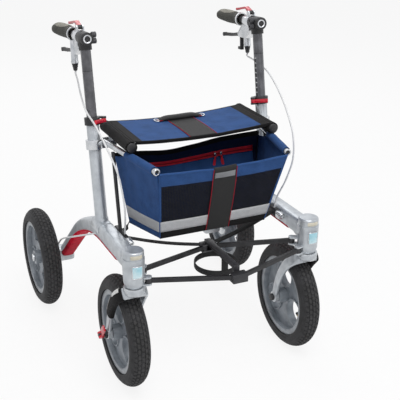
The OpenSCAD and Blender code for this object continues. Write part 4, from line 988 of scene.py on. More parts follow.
for side, s in SIDES.items():
    body, face = f"{side}_handle", on_bar(s, 0, HEAD_FACE, 0)
    front = ring(HEAD_RING, face, bar_axis(s), 48, True)
    piece(f"{side}_head_ring", front, BRIGHT, body)
    piece(f"{side}_head_plug", ring(HEAD_PLUG, face, bar_axis(s), 40), BLACK, body)
    bolts = merge(*[knurled_bolt(s, z) for z in BOLT_AT])
    piece(f"{side}_clamp_bolts", bolts, STEEL, body, smooth=BOLT_SHARP)
    boot = ring(BOOT, on_bar(s, *BOOT_AT), on_bar(s, 0, 0, 1) - on_bar(s, 0, 0, 0), 32)
    piece(f"{side}_cable_boot", boot, BLACK, body)
print("handle heads trimmed")

# %% [markdown]
# ## Forks
# A fork is one casting: a small cup under the head, from which two flat oval arms go out over the tyre and
# bend back to the axle. Joined blocks would leave hard seams, so each arm is one skin. It follows an arc
# about a centre in front of the wheel, and its places are given in degrees down that arc. A black cloth
# sleeve with a white edge covers the outer arm.

# %% the fork's arms
FORK_SWEEP, CROWN_Z = math.radians(47), 320.0
ARM_THICK, ARM_DEEP, ARM_TAPER, ARM_POWER, ARM_POINTS, ARM_STEPS = 6.4, 13.6, 7.0, 2.8, 72, 6
FORK_MID = math.atan2(CROWN_Z - AXLE_Z, FRONT_Y - HEAD_Y)
FORK_R = math.hypot(CROWN_Z - AXLE_Z, FRONT_Y - HEAD_Y) / (2 * math.sin(FORK_SWEEP / 2))
FORK_A = FORK_MID - FORK_SWEEP / 2
FORK_C = (HEAD_Y - FORK_R * math.sin(FORK_A), CROWN_Z - FORK_R * math.cos(FORK_A))
# places on an arm's line: x from the wheel's middle, degrees down the bend
ARM_LINE = ((4, 0.0), (20, 0.4), (32, 2.6), (39, 8.0), (41, 15.0), (41, 24.0), (41, 33.0),
            (41, 41.0), (41, 47.0))
ARM_X, ARM_LAST = ARM_LINE[-1][0], ARM_STEPS * (len(ARM_LINE) - 1)


def arm_rows(s, k, grow, first, last, sector=None):
    """Rows round the arm on side k of a wheel, between two steps. A sector keeps part of each row."""
    spots = [(s * FRAME_X + k * x, FORK_A + math.radians(a)) for x, a in ARM_LINE]
    bent = [(x, FORK_C[0] + FORK_R * math.sin(a), FORK_C[1] + FORK_R * math.cos(a)) for x, a in spots]
    line = spline(bent, ARM_STEPS)
    rows = []
    for i in range(first, last + 1):
        p = line[i]
        a = math.atan2(p.y - FORK_C[0], p.z - FORK_C[1])
        deep = Vector((0, math.sin(a), math.cos(a)))
        out = (line[min(i + 1, len(line) - 1)] - line[max(i - 1, 0)]).cross(deep).normalized() * k
        half = ARM_DEEP + ARM_TAPER * math.sin(FORK_MID - a) + grow
        loop = oval(ARM_THICK + grow, half, ARM_POINTS, ARM_POWER)
        rows.append([p + out * u + deep * v for u, v in (loop[sector[0]:sector[1]] if sector else loop)])
    return rows


print("the arms bend on a radius of", round(FORK_R), "mm")

# %% forks and their sleeves
CROWN_TOP = 338
CROWN = [(0, -27), (15, -27), (22.5, -24.6), (27.2, -19), (28.8, -11), (28.6, -5), (27.4, -1.6), (0, -1.6)]
STEERER = [(0, -2), (12.7, -2), (12.7, 78), (0, 78)]
LUG = [(6.05, -7), (14.6, -7), (16, -5.8), (16, 5.8), (14.6, 7), (6.05, 7)]
GUARD_T, GUARD_STEPS = 2.4, (10, 34)
WHITE_STRIPS = ((12, 20, (3, 17)), (21, 33, (10, 16)))  # steps of the arm's line, and points of its outline
WHITE_UP, WHITE_THICK = 0.5, 0.8

for side, s in SIDES.items():
    foot, body = (s * FRAME_X, HEAD_Y, CROWN_TOP), f"{side}_caster"
    parts = [ring(CROWN, foot, (0, 0, 1), 56), ring(STEERER, foot, (0, 0, 1), 40)]
    for k in SIDES.values():
        parts.append(skin(arm_rows(s, k, 0, 0, ARM_LAST), wrap=True, cap=True))
        parts.append(ring(LUG, (s * FRAME_X + k * ARM_X, FRONT_Y, AXLE_Z), (1, 0, 0), 40, True))
    o = piece(f"{side}_fork_casting", merge(*parts), SILVER, body)
    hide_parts(f"{side}_fork")
    wrapped = skin(arm_rows(s, s, GUARD_T, *GUARD_STEPS), wrap=True, cap=True)
    o = piece(f"{side}_arm_sleeve", wrapped, BLACK_CLOTH, body)
    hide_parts(f"{side}_fork_guard")
    edges = [skin(arm_rows(s, s, GUARD_T + WHITE_UP, *strip)) for strip in WHITE_STRIPS]
    cloth(piece(f"{side}_guard_strip", merge(*edges), TICK, body), WHITE_THICK)
print("forks with their sleeves")

# %% [markdown]
# ## Reflectors and cap windows
# Each steering head carries a curved reflector in a bright frame, and its cap has a pale window in front.
# They are thin plates bent round the head, so their points are given by an angle from the front and a
# height.

# %% reflectors and cap windows
HEAD_LOW, HEAD_HIGH, HEAD_LOW_R, HEAD_HIGH_R = 352, 418, 27.5, 29.5
GLASS_FROM, GLASS_TO, GLASS_STEPS, GLASS_UP, GLASS_ROUND, GLASS_THICK = 371, 403, 14, 2.4, 1.2, 1.8
BEZEL_OUT, BEZEL_UP, BEZEL_R, BEZEL_TURN = 0.6, 1.6, 1.5, 25.5
PANE_R, PANE_AT, PANE_THICK = 27.2, (421.6, 425, 429, 433.4), 1.2


def head_r(z):
    """The head's radius at a height."""
    return lerp(HEAD_LOW_R, HEAD_HIGH_R, (z - HEAD_LOW) / (HEAD_HIGH - HEAD_LOW))


def on_head(s, r, degrees, z):
    """A point round the steering head, degrees from its front."""
    t = math.radians(degrees)
    return s * FRAME_X + r * math.sin(t), HEAD_Y - r * math.cos(t), z


def head_plates(side, s):
    """The reflector, its frame and the window of one head."""
    rows = []
    for k in range(GLASS_STEPS + 1):
        z = lerp(GLASS_FROM, GLASS_TO, k / GLASS_STEPS)
        r = head_r(z) + GLASS_UP - (GLASS_ROUND if k in (0, GLASS_STEPS) else 0.0)
        rows.append([on_head(s, r, a, z) for a in range(-24, 25, 3)])
    cloth(piece(f"{side}_reflector", skin(rows), REFLECTOR, f"{side}_frame"), GLASS_THICK)
    loop = []
    for z, turn in ((GLASS_FROM - BEZEL_OUT, BEZEL_TURN), (GLASS_TO + BEZEL_OUT, -BEZEL_TURN)):
        r = head_r(z) + BEZEL_UP
        loop += [on_head(s, r, lerp(-turn, turn, k / GLASS_STEPS), z) for k in range(GLASS_STEPS + 1)]
    border = tube(loop, BEZEL_R, 8, hint=(0, -1, 0), closed=True)
    piece(f"{side}_reflector_edge", border, BRIGHT, f"{side}_frame")
    pane = [[on_head(s, PANE_R, a, z) for a in range(-36, 37, 4)] for z in PANE_AT]
    cloth(piece(f"{side}_cap_window", skin(pane), WINDOW, f"{side}_frame"), PANE_THICK)


print("reflectors", GLASS_TO - GLASS_FROM, "mm high")

# %% [markdown]
# ## Wheel trim, plugs and strap brackets
# A wheel has a lip on both sides of its disc, painted lighter as a highlight, and a brass valve with a black
# cap. The seat rails end in black plugs, and the beams carry a small bracket with an eye for the straps.
# They are turned profiles and one rounded block.

# %% wheel trim
RIM_FACE = 22.0
RIM_EDGE = [(104, -0.3), (104.6, 0.8), (107, 1.2), (115, 1.2), (117.2, 0.8), (117.8, -0.3)]
VALVE_AT, VALVE_WAY = 68, Vector((0, -0.866, -0.5))
STEM = [(0, 7.5), (3.9, 7.5), (3.9, 11), (4.3, 11.5), (4.3, 15), (3.9, 15.5), (3.9, 30), (0, 30)]
VALVE_CAP = [(0, 0), (3.2, 0), (4.4, 1.2), (4.4, 8.2), (0, 8.2)]


def wheel_trim(side, s):
    """Rim edges and valves of both wheels on one side."""
    for end, (x, y) in WHEELS.items():
        body = f"{side}_{end}_wheel"
        for k in SIDES.values():
            edge = ring(RIM_EDGE, (s * x + k * RIM_FACE, y, AXLE_Z), (k, 0, 0), 96, True)
            # both lips of each disc carry the rim's painted highlight
            piece(f"{side}_{end}_rim_edge_{'outer' if k == s else 'inner'}", edge, RIM_EDGE_HIGHLIGHT, body)
        foot = Vector((s * x, y, AXLE_Z)) + VALVE_WAY * VALVE_AT
        piece(f"{side}_{end}_valve", ring(STEM, foot, VALVE_WAY, 24), BRASS, body)
        piece(f"{side}_{end}_valve_cap", ring(VALVE_CAP, foot, VALVE_WAY, 24), BLACK, body)


print("valves", VALVE_AT, "mm from the hub")

# %% rail plugs and strap brackets
RAIL_PLUG = [(9.6, -6), (9.6, 0.3), (12.8, 0.3), (12.8, 2.0), (11.4, 3.4), (4.0, 4.2), (0, 4.3)]
BRACKET_AT, BRACKET_SIZE, BRACKET_SOFT = (227, 110, 408), (16, 26, 20), 3  # out, back from the head, up
EYE_AT, EYE_WAY = (226, 97, 409), (0, 1, 0.3)
EYE = [(4.5, -2.5), (7.5, -2.5), (8.5, -1.5), (8.5, 1.5), (7.5, 2.5), (4.5, 2.5)]

for side, s in SIDES.items():
    body = f"{side}_frame"
    head_plates(side, s)
    wheel_trim(side, s)
    for tag, y, way in (("front", RAIL_FROM, -1), ("rear", RAIL_TO, 1)):
        plug = ring(RAIL_PLUG, (s * RAIL_X, y, RAIL_Z), (0, way, 0), 40)
        piece(f"{side}_{tag}_rail_plug", plug, BLACK, body)
    lug = block((s * BRACKET_AT[0], HEAD_Y + BRACKET_AT[1], BRACKET_AT[2]), BRACKET_SIZE, BRACKET_SOFT, 4, 24)
    eye = ring(EYE, (s * EYE_AT[0], HEAD_Y + EYE_AT[1], EYE_AT[2]), EYE_WAY, 32, True)
    piece(f"{side}_strap_bracket", merge(lug, eye), BRIGHT, body)
print("trim in place on both sides")

# %% [markdown]
# ## Seat sling
# One length of cloth is pulled between two sleeves that go round the rails. It sags in the middle and has a
# black centre strap with red piping, black side strips and hems. A cloth simulation would give much the
# same sag, but a formula gives it at once and the same on each run.

# %% seat shape
SEAT_IN, SEAT_HALF = 4, 199.0  # set in from the rails' ends, half the cloth between the sleeves
SEAT_Y0, SEAT_Y1 = RAIL_FROM + SEAT_IN, RAIL_TO - SEAT_IN
SEAT_UP, SEAT_RISE, HEM_SAG, WRINKLE = 5.0, 8.0, 1.6, 0.9
WRINKLE_X, WRINKLE_Y = 46, 90  # millimetres between faint pull lines, across and along
SAG_POWER, WRINKLE_SEED, WRINKLE_FADE = 2.1, 3.1, 0.4  # the sag's shape, and wrinkles that fade sideways


def seat_point(x, y, lift=0.0):
    """A point on the seat cloth: sag across the width, slack hems and faint pull lines from the rails."""
    u, v = x / SEAT_HALF, (y - SEAT_Y0) / (SEAT_Y1 - SEAT_Y0)
    z = RAIL_Z + SEAT_UP + SEAT_RISE * abs(u) ** SAG_POWER
    z -= HEM_SAG * (1 - u * u) * (abs(2 * v - 1) ** 3)
    pulled = noise.noise(Vector((x / WRINKLE_X, y / WRINKLE_Y, WRINKLE_SEED)))
    z += WRINKLE * pulled * (1 - WRINKLE_FADE * abs(u))
    return Vector((x, y, z + lift))


def seat_grid(x0, x1, nx, y0, y1, ny, lift):
    """A sheet that lies on the seat."""
    xs, ys = [lerp(x0, x1, i / nx) for i in range(nx + 1)], [lerp(y0, y1, j / ny) for j in range(ny + 1)]
    return skin([[seat_point(x, y, lift) for x in xs] for y in ys])


def fold_with_seat(o):
    """Gives the piece its own copy of its mesh."""
    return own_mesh(o)


def sewn(name, part, mat, thick=0.0, smooth=HARD):
    """A piece of the seat or the basket, as a thick sheet or a cord, with its own copy of its mesh."""
    o = piece(name, part, mat, "left_frame", smooth=SOFT if thick else smooth)
    return fold_with_seat(cloth(o, thick) if thick else o)


print("the seat sags", SEAT_RISE, "mm")

# %% seat cloth, strap, piping and hems
SEAT_COLUMNS, SEAT_LINES, SIDE_STRIP, SEAT_THICK = 80, 40, 176, 2.2
STRAP_HALF, STRAP_UP, STRAP_THICK, STRAP_STEPS = 38, 2.2, 1.6, 40
PIPE_X, PIPE_UP, PIPE_R = 38.6, 2.8, 0.9
HEM_HALF, HEM_STEPS, STITCH = 193, 60, 1
# along the seat, below the cloth, half sizes of the rolled edge
HEMS = {"front": (SEAT_Y0 + STITCH, -2.6, (2.4, 4.6)), "rear": (SEAT_Y1 - STITCH, -2.4, (2.2, 4.0))}

part = seat_grid(-SEAT_HALF, SEAT_HALF, SEAT_COLUMNS, SEAT_Y0, SEAT_Y1, SEAT_LINES, 0)
index = []
for j in range(SEAT_LINES):
    for i in range(SEAT_COLUMNS):
        x = abs(lerp(-SEAT_HALF, SEAT_HALF, (i + 0.5) / SEAT_COLUMNS))
        index.append(1 if x > SIDE_STRIP or j in (0, SEAT_LINES - 1) else 0)
seat = piece("seat_cloth", part, [BLUE, BLACK_CLOTH], "left_frame", index, SOFT)
fold_with_seat(cloth(seat, SEAT_THICK))
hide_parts("seat_sling")

ends = (SEAT_Y0 + STITCH, SEAT_Y1 - STITCH)
part = seat_grid(-STRAP_HALF, STRAP_HALF, 16, *ends, STRAP_STEPS, STRAP_UP)
trim = [sewn("seat_centre_strap", part, WEB, STRAP_THICK)]
for tag, k in SIDES.items():
    line = [seat_point(k * PIPE_X, lerp(*ends, j / STRAP_STEPS), PIPE_UP) for j in range(STRAP_STEPS + 1)]
    trim.append(sewn(f"seat_piping_{tag}", tube(line, PIPE_R, 10), PIPING))
for tag, (y, under, half) in HEMS.items():
    line = [seat_point(lerp(-HEM_HALF, HEM_HALF, i / HEM_STEPS), y, under) for i in range(HEM_STEPS + 1)]
    hem = sweep(line, oval(*half, 16, 3), hint=(0, 1, 0))
    trim.append(sewn(f"seat_{tag}_hem", hem, BLACK_CLOTH))
print("seat cloth with", len(trim), "pieces of trim")

# %% [markdown]
# ## Rail sleeves
# The sling's ends are sewn into sleeves round the rails. Real sleeves are never quite round, so a little
# noise lets them wrinkle, and they stop a few degrees short of a full turn where the seam is.

# %% rail sleeves
WRAP, WRAP_FROM, WRAP_POINTS = 356.0, 92, 40  # degrees of the rail that a sleeve covers, and where it starts
SLEEVE_R, SLEEVE_SLACK, SLEEVE_OVER, SLEEVE_LINES, SLEEVE_THICK = 14.9, 0.5, 0.5, 40, 1.6
FOLD_LONG, FOLD_ROUND = 30, 5  # size of the wrinkles: millimetres along the rail, points round it

for side, s in SIDES.items():
    rows = []
    for j in range(SLEEVE_LINES + 1):
        y = lerp(RAIL_FROM - SLEEVE_OVER, RAIL_TO + SLEEVE_OVER, j / SLEEVE_LINES)
        row = []
        for k in range(WRAP_POINTS):
            a = math.radians(WRAP_FROM + WRAP * k / (WRAP_POINTS - 1))
            r = SLEEVE_R + SLEEVE_SLACK * noise.noise(Vector((y / FOLD_LONG, k / FOLD_ROUND, s)))
            row.append((s * (RAIL_X + r * math.cos(a)), y, RAIL_Z + r * math.sin(a)))
        rows.append(row)
    o = piece(f"{side}_seat_sleeve", skin(rows), BLACK_CLOTH, f"{side}_frame", smooth=SOFT)
    cloth(o, SLEEVE_THICK)
    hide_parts("seat_sling")

# %% [markdown]
# ## Carry handle
# A padded webbing roll lies across the rear of the seat, for lifting the folded frame. Red tabs and steel
# rings hold its ends. The roll is a sweep whose outline grows thinner towards the tabs.

# %% carry handle on the seat
CARRY_Y, CARRY_HALF, CARRY_STEPS = SEAT_Y1 - 37, 62, 40
CARRY_UP, CARRY_BOW, CARRY_EASE = 5.0, 3.5, 26
ROLL_WIDE, ROLL_NARROWER, ROLL_HIGH, ROLL_LOWER = 12.5, 3.0, 6.2, 3.2  # half sizes, and less at the ends
TAB_FROM, TAB_TO, TAB_HALF, TAB_UP, TAB_FALL, TAB_THICK = 52, 66, 11, 5.2, 1.4, 1.8
LOOP_X, LOOP_A, LOOP_B, LOOP_UP, LOOP_R, LOOP_POINTS = 69, 6, 12, 4.2, 1.5, 32

line, rolls = [], []
for i in range(CARRY_STEPS + 1):
    x, t = lerp(-CARRY_HALF, CARRY_HALF, i / CARRY_STEPS), abs(2 * i / CARRY_STEPS - 1)
    line.append(seat_point(x, CARRY_Y, CARRY_UP + CARRY_BOW * ease((CARRY_HALF - abs(x)) / CARRY_EASE)))
    rolls.append(oval(ROLL_WIDE - ROLL_NARROWER * t ** 6, ROLL_HIGH - ROLL_LOWER * t ** 4, 24, 2.6))
sewn("seat_carry_handle", sweep(line, rolls, hint=(0, 1, 0)), WEB, smooth=SOFT)
for tag, k in SIDES.items():
    tab = [[seat_point(k * lerp(TAB_FROM, TAB_TO, i / 8), CARRY_Y + lerp(-TAB_HALF, TAB_HALF, j / 6),
                       TAB_UP - TAB_FALL * i / 8) for i in range(9)] for j in range(7)]
    sewn(f"seat_carry_tab_{tag}", skin(tab), PIPING, TAB_THICK)
    turns = [2 * math.pi * q / LOOP_POINTS for q in range(LOOP_POINTS)]
    loop = [seat_point(k * (LOOP_X + LOOP_A * math.cos(t)), CARRY_Y + LOOP_B * math.sin(t), LOOP_UP)
            for t in turns]
    wire = tube(loop, LOOP_R, 10, hint=(0, 0, 1), closed=True)
    sewn(f"seat_carry_ring_{tag}", wire, BRIGHT)
print("carry handle of", 2 * CARRY_HALF, "mm")

# %% [markdown]
# ## Basket
# The basket is a bag hung from two rods: side walls that rise to sleeves round the rods, a front with a
# blue hem over black net, and a lower rear wall with a zipped pocket. A loft between its four corners gives
# the walls. They bulge a little, and the hems sag between the corners, so that it reads as cloth and not as
# plates.

# %% basket shape
BAG_LOW, BAG_TOP = 424.0, 628.0
ROD_REAR, ROD_FRONT = Vector((230, HEAD_Y + 272, 640)), Vector((186, HEAD_Y + 8, 634))
FRONT_SAG, FRONT_WAVE, REAR_SAG, REAR_DROP = 7.0, 2.6, 4.0, 16.0
REAR_SLACK, REAR_LIFT = 9, 7  # the rear hem hangs by its middle and is pulled up on the right
SLACK_AT, SLACK_WIDE, LIFT_UNTIL, LIFT_OVER = 0.64, 0.17, 0.46, 0.2  # shares of that hem, from the right
FRONT_POWER, FRONT_WAVES = 1.4, 17
# a side wall hugs its rod: from a share of the height up, and up to a share of the rod from its front
HUG_FROM, HUG_OVER, HUG_END, HUG_FADE = 0.72, 0.28, 0.64, 0.1
DROP_FROM, DROP_OVER = 0.56, 0.3  # shares of the rod over which the wall's edge drops to the rear hem
# half widths and distances behind the head, at the foot and at the top
BAG_FRONT_X, BAG_FRONT_BACK = (155, 181), (69, -1)
BAG_REAR_X, BAG_REAR_BACK = (192, 218), (197, 230)
SWELL = {"front": 5.0, "rear": 3.0, "left": 4.0, "right": 4.0}
CREASE_SEED = {"front": 1.7, "rear": 5.2, "left": 8.4, "right": 11.9}
CREASE, CREASE_LOW, CREASES_LONG, CREASES_UP, SWELL_SPAN, ROD_UNDER = 1.6, 0.4, 5, 3, 0.95, 3
WALL_CORNERS = {"front": (0, 1), "right": (1, 2), "rear": (2, 3), "left": (3, 0)}


def bag_corners(t):
    """The four plan corners at a share t of the height: front left, front right, rear right, rear left."""
    fx, fy = lerp(*BAG_FRONT_X, t), HEAD_Y + lerp(*BAG_FRONT_BACK, t)
    rx, ry = lerp(*BAG_REAR_X, t), HEAD_Y + lerp(*BAG_REAR_BACK, t)
    return [Vector((-fx, fy)), Vector((fx, fy)), Vector((rx, ry)), Vector((-rx, ry))]


def bag_point(wall, u, t, out=0.0):
    """A point on a wall, u along it and t up it, moved outwards by out."""
    corners = bag_corners(t)
    a, b = (corners[i] for i in WALL_CORNERS[wall])
    p = a.lerp(b, u)
    normal = Vector((b.y - a.y, a.x - b.x)).normalized()
    mid = math.sin(math.pi * u)
    swell = SWELL[wall] * mid * math.sin(math.pi * min(1, t * SWELL_SPAN))
    crease = noise.noise(Vector((u * CREASES_LONG, t * CREASES_UP, CREASE_SEED[wall])))
    swell += CREASE * crease * mid ** 0.5 * (CREASE_LOW + t)
    z = lerp(BAG_LOW, BAG_TOP, t)
    if wall == "front":
        z -= FRONT_SAG * mid ** FRONT_POWER * t ** 3
        swell += FRONT_WAVE * math.sin(u * FRONT_WAVES) * mid * t ** 5
    elif wall == "rear":
        slack = REAR_SLACK * math.exp(-((u - SLACK_AT) / SLACK_WIDE) ** 2)
        slack -= REAR_LIFT * ease((LIFT_UNTIL - u) / LIFT_OVER)
        z -= (REAR_DROP + REAR_SAG * mid + slack) * t ** 3
    else:
        share = (p.y - ROD_FRONT.y) / (ROD_REAR.y - ROD_FRONT.y)
        rod = ROD_FRONT.lerp(ROD_REAR, min(1, max(0, share)))
        pull = ease((t - HUG_FROM) / HUG_OVER) * ease((HUG_END - share) / HUG_FADE)
        z -= REAR_DROP * ease((share - DROP_FROM) / DROP_OVER) * t ** 3
        p.x = lerp(p.x, math.copysign(rod.x, p.x), pull)
        z = lerp(z, rod.z - ROD_UNDER, pull * t)
    p = p + normal * (swell + out)
    return Vector((p.x, p.y, z))


def wall_skin(wall, u0, u1, nu, t0, t1, nt, out=0.0):
    """A panel of a wall, between two shares along it and two up it."""
    us, ts = [lerp(u0, u1, i / nu) for i in range(nu + 1)], [lerp(t0, t1, j / nt) for j in range(nt + 1)]
    return skin([[bag_point(wall, u, t, out) for u in us] for t in ts])


def share_at(z):
    """A height as a share of the bag's depth."""
    return (z - BAG_LOW) / (BAG_TOP - BAG_LOW)


print("bag is", round(BAG_TOP - BAG_LOW), "mm deep")

# %% [markdown]
# ## Basket walls, floor and net
# The walls, the front's frame of cloth and the floor are one sewn piece, so their skins are welded into one
# mesh before it gets its thickness. The rear wall is the blue cloth painted darker as shade. The net in the
# front opening is a grid turned into cords by the Wireframe modifier, in front of a lining in that same
# painted shade.

# %% basket walls and floor
T_BAND0, T_BAND1, T_HEM = share_at(444), share_at(477), share_at(591)
NET_U, SEW_GAP, BAG_THICK = 0.012, 0.0006, 1.8  # cloth beside the net as a share, welding distance in metres
BASE_X, BASE_Y, BASE_UP, BASE_CREASE, BASE_SPOT = 30, 16, 1.2, 0.8, 6
# the third cloth is the blue painted darker as shade
BLUE_AT, BLACK_AT, BLUE_SHADE_AT = 0, 1, 2  # the cloths of the bag


def base_point(u, v, i, j):
    """A point on the bag's floor."""
    c = bag_corners(0.0)
    flat = c[0].lerp(c[1], u).lerp(c[3].lerp(c[2], u), v)
    uneven = noise.noise(Vector((i / BASE_SPOT, j / BASE_SPOT, 2)))
    return Vector((*flat, BAG_LOW + BASE_UP + BASE_CREASE * uneven))


# the rear wall is the blue cloth painted darker, as shade inside the basket
panels = [(wall_skin(wall, 0, 1, 40, 0, 1, 32), tone)
          for wall, tone in (("left", BLUE_AT), ("right", BLUE_AT), ("rear", BLUE_SHADE_AT))]
for u0, u1, t0, t1, tone in ((0, 1, 0, T_BAND0, BLACK_AT), (0, 1, T_BAND0, T_BAND1, BLACK_AT),
                             (0, 1, T_HEM, 1, BLUE_AT), (0, NET_U, T_BAND1, T_HEM, BLUE_AT),
                             (1 - NET_U, 1, T_BAND1, T_HEM, BLUE_AT)):
    panels.append((wall_skin("front", u0, u1, 60 if u1 - u0 > 0.5 else 3, t0, t1, 10), tone))
bottom = [[base_point(i / BASE_X, j / BASE_Y, i, j) for i in range(BASE_X + 1)] for j in range(BASE_Y + 1)]
panels.append((skin(bottom), BLACK_AT))
index = [tone for part, tone in panels for _ in part[1]]
bag = piece("basket_cloth", merge(*[part for part, _ in panels]), [BLUE, BLACK_CLOTH, BLUE_SHADE], "left_frame",
            index, SOFT)
bake(modify(bag, "WELD", merge_threshold=SEW_GAP))
fold_with_seat(cloth(bag, BAG_THICK))
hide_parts("basket")

# %% net and lining
NET_COLUMNS, NET_LINES, NET_CORD, NET_IN = 78, 26, 1.5, -0.2
LINING_U, LINING_T, LINING_IN, LINING_THICK = 0.008, 0.02, -2.6, 0.8

part = wall_skin("front", NET_U, 1 - NET_U, NET_COLUMNS, T_BAND1, T_HEM, NET_LINES, NET_IN)
net = piece("basket_net", part, NET, "left_frame", smooth=SOFT)
modify(net, "WIREFRAME", thickness=NET_CORD * MM, use_even_offset=False)
fold_with_seat(bake(net))
part = wall_skin("front", LINING_U, 1 - LINING_U, 40, T_BAND1 - LINING_T, T_HEM + LINING_T, 14, LINING_IN)
# a real lining behind the net, in the blue cloth painted darker as shade
backing = sewn("basket_front_lining", part, BLUE_SHADE, LINING_THICK)
print("net of", NET_COLUMNS, "by", NET_LINES, "meshes")

# %% [markdown]
# ## Bands, hems and bindings
# A reflective tape runs along three walls near the foot, and the front and rear edges and the front corners
# are bound. They could be drawn into the cloth's material, but a real binding stands up from it. Each follows
# a line of the wall it is sewn to, so it stays on the cloth wherever the wall bulges.

# %% bands, hems and corner binding
BAND_UP, BAND_THICK = 1.5, 1.0
BANDS = (("front", 0.002, 0.998, 60), ("left", 0.03, 0.998, 40), ("right", 0.002, 0.97, 40))
EDGE_STEPS, FRONT_HEM_R, REAR_HEM_HALF = 80, 3.0, (7.5, 2.6)
BIND_STEPS, BIND_R, FOOT_BIND_R, FOOT_BIND_OUT = 40, 1.9, 2.2, 0.4

parts = [wall_skin(wall, u0, u1, n, T_BAND0, T_BAND1, 4, BAND_UP) for wall, u0, u1, n in BANDS]
bands = sewn("basket_reflective_band", merge(*parts), BAND, BAND_THICK)
edge = [bag_point("front", i / EDGE_STEPS, 1.0) for i in range(EDGE_STEPS + 1)]
front_hem = sewn("basket_front_hem", tube(edge, FRONT_HEM_R, hint=(0, 0, 1)), BLUE)
edge = [bag_point("rear", i / EDGE_STEPS, 1.0) for i in range(EDGE_STEPS + 1)]
rolled = sweep(edge, oval(*REAR_HEM_HALF, 16, 3), hint=(0, 0, 1))
rear_hem = sewn("basket_rear_hem", rolled, BLACK_CLOTH)
for tag, u in (("front_left", 0.0), ("front_right", 1.0)):
    line = [bag_point("front", u, t / BIND_STEPS) for t in range(BIND_STEPS + 1)]
    sewn(f"basket_binding_{tag}", tube(line, BIND_R, 10, hint=(0, 1, 0)), BLUE)
line = [bag_point("front", i / BIND_STEPS, 0.0, FOOT_BIND_OUT) for i in range(BIND_STEPS + 1)]
binding = tube(line, FOOT_BIND_R, 10, hint=(0, 0, 1))
sewn("basket_foot_binding", binding, BLACK_CLOTH)

# %% [markdown]
# ## Rod sleeves
# The upper edges of the side walls are sewn into blue sleeves that slide over the rods. The rods end in
# bright rings with a dark core, which are what shows first at the basket's front corners.

# %% rod sleeves and end rings
ROD_SLEEVE, ROD_SLACK, ROD_FOLDS, ROD_THICK = 10.6, 0.7, 5, 1.4
ROD_FROM, ROD_TO, ROD_STEPS, ROD_POINTS = 0.46, 0.97, 40, 28  # shares of the rod, from its rear end
END_RING = [(5.6, -1.5), (8.2, -1.5), (9.6, 0), (9.6, 3.0), (8.4, 4.4), (6.4, 4.4), (5.6, 3.4)]
END_CORE = [(0, -1), (5.7, -1), (5.7, 1.2), (0, 0.6)]

for side, s in SIDES.items():
    rows = []
    for j in range(ROD_STEPS + 1):
        c = ROD_REAR.lerp(ROD_FRONT, lerp(ROD_FROM, ROD_TO, j / ROD_STEPS))
        r = ROD_SLEEVE + ROD_SLACK * noise.noise(Vector((j / ROD_FOLDS, s, 0.5)))
        turns = [2 * math.pi * k / ROD_POINTS for k in range(ROD_POINTS)]
        rows.append([(s * (c.x + r * math.cos(t)), c.y, c.z + r * math.sin(t)) for t in turns])
    o = piece(f"{side}_rod_sleeve", skin(rows, wrap=True), BLUE, f"{side}_frame", smooth=SOFT)
    cloth(o, ROD_THICK)
    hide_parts("basket")
    tip, way = ROD_FRONT.copy(), ROD_FRONT - ROD_REAR
    tip.x, way.x = s * tip.x, s * way.x
    ends = ring(END_RING, tip, way, 40, True)
    piece(f"{side}_rod_end_ring", ends, BRIGHT, f"{side}_frame")
    piece(f"{side}_rod_end_core", ring(END_CORE, tip, way, 32), BLACK, f"{side}_frame")
print("rod sleeves and end rings")

# %% [markdown]
# ## Front strap
# A wide black strap with red piping runs up the middle of the basket's front, over the hem and a little way
# down inside, and a grey woven patch is sewn on it. A flat strip could be laid on with Shrinkwrap. Here its
# points follow the front wall's own formula, so it bends with the net.

# %% front strap of the basket
BAG_STRAP_HALF, BAG_STRAP_UP, BAG_STRAP_THICK, BAG_STRAP_AT, BAG_STRAP_STEPS = 33, 2.9, 1.6, 10, 44
# over the hem: share of the height, outwards and up
OVER_HEM = ((1.0, 0.0, 4.4), (1.0, -4.4, 3.0), (0.93, -4.8, 0.0))
BAG_PIPE_X, BAG_PIPE_UP = 33.4, 3.5
PATCH_HALF, PATCH_FROM, PATCH_TO, PATCH_UP, PATCH_THICK = 29, 0.86, 0.945, 4.4, 0.9


def strap_point(x, t, out):
    """A point x from the strap's middle line on the basket's front."""
    u = 0.5 + (x + lerp(BAG_STRAP_AT, 0, t)) / (2 * lerp(*BAG_FRONT_X, t))
    return bag_point("front", u, t, out)


xs = [lerp(-BAG_STRAP_HALF, BAG_STRAP_HALF, i / 14) for i in range(15)]
shares = [j / BAG_STRAP_STEPS for j in range(BAG_STRAP_STEPS + 1)]
rows = [[strap_point(x, t, BAG_STRAP_UP) for x in xs] for t in shares]
rows += [[strap_point(x, t, out) + Vector((0, 0, up)) for x in xs] for t, out, up in OVER_HEM]
sewn("basket_front_strap", skin(rows), WEB, BAG_STRAP_THICK)
for tag, k in SIDES.items():
    line = [strap_point(k * BAG_PIPE_X, t, BAG_PIPE_UP) for t in shares]
    sewn(f"basket_piping_{tag}", tube(line, PIPE_R, 10), PIPING)
patch = [[strap_point(lerp(-PATCH_HALF, PATCH_HALF, i / 10), lerp(PATCH_FROM, PATCH_TO, j / 6), PATCH_UP)
          for i in range(11)] for j in range(7)]
sewn("basket_woven_patch", skin(patch), PATCH, PATCH_THICK)
print("front strap with piping and a woven patch")

# %% [markdown]
# ## Pocket and zip
# A flat pocket is sewn to the rear wall's inside and closed by a red zip with two pulls. It bulges a few
# millimetres in its middle, as an empty pocket does. The teeth are one thin cord, since single teeth
# wouldn't show.

# %% zipped pocket inside
POCKET_X, POCKET_Z, POCKET_STEPS, POCKET_LINES = (-168, 193), (452, 579), 40, 16
POCKET_IN, POCKET_BULGE, POCKET_THICK, POCKET_FLAT = 5, 9, 1.4, (0.361, 0.13)  # the flat size in metres
ZIP_LOW, ZIP_HIGH, ZIP_IN, ZIP_LEAN, ZIP_THICK, ZIP_LINES = -2, 15, 6.4, 0.5, 1.6, 4
TEETH_X, TEETH_Z, TEETH_IN, TEETH_R, TEETH_STEPS = (-166, 191), 585.5, 7.6, 1.6, 80


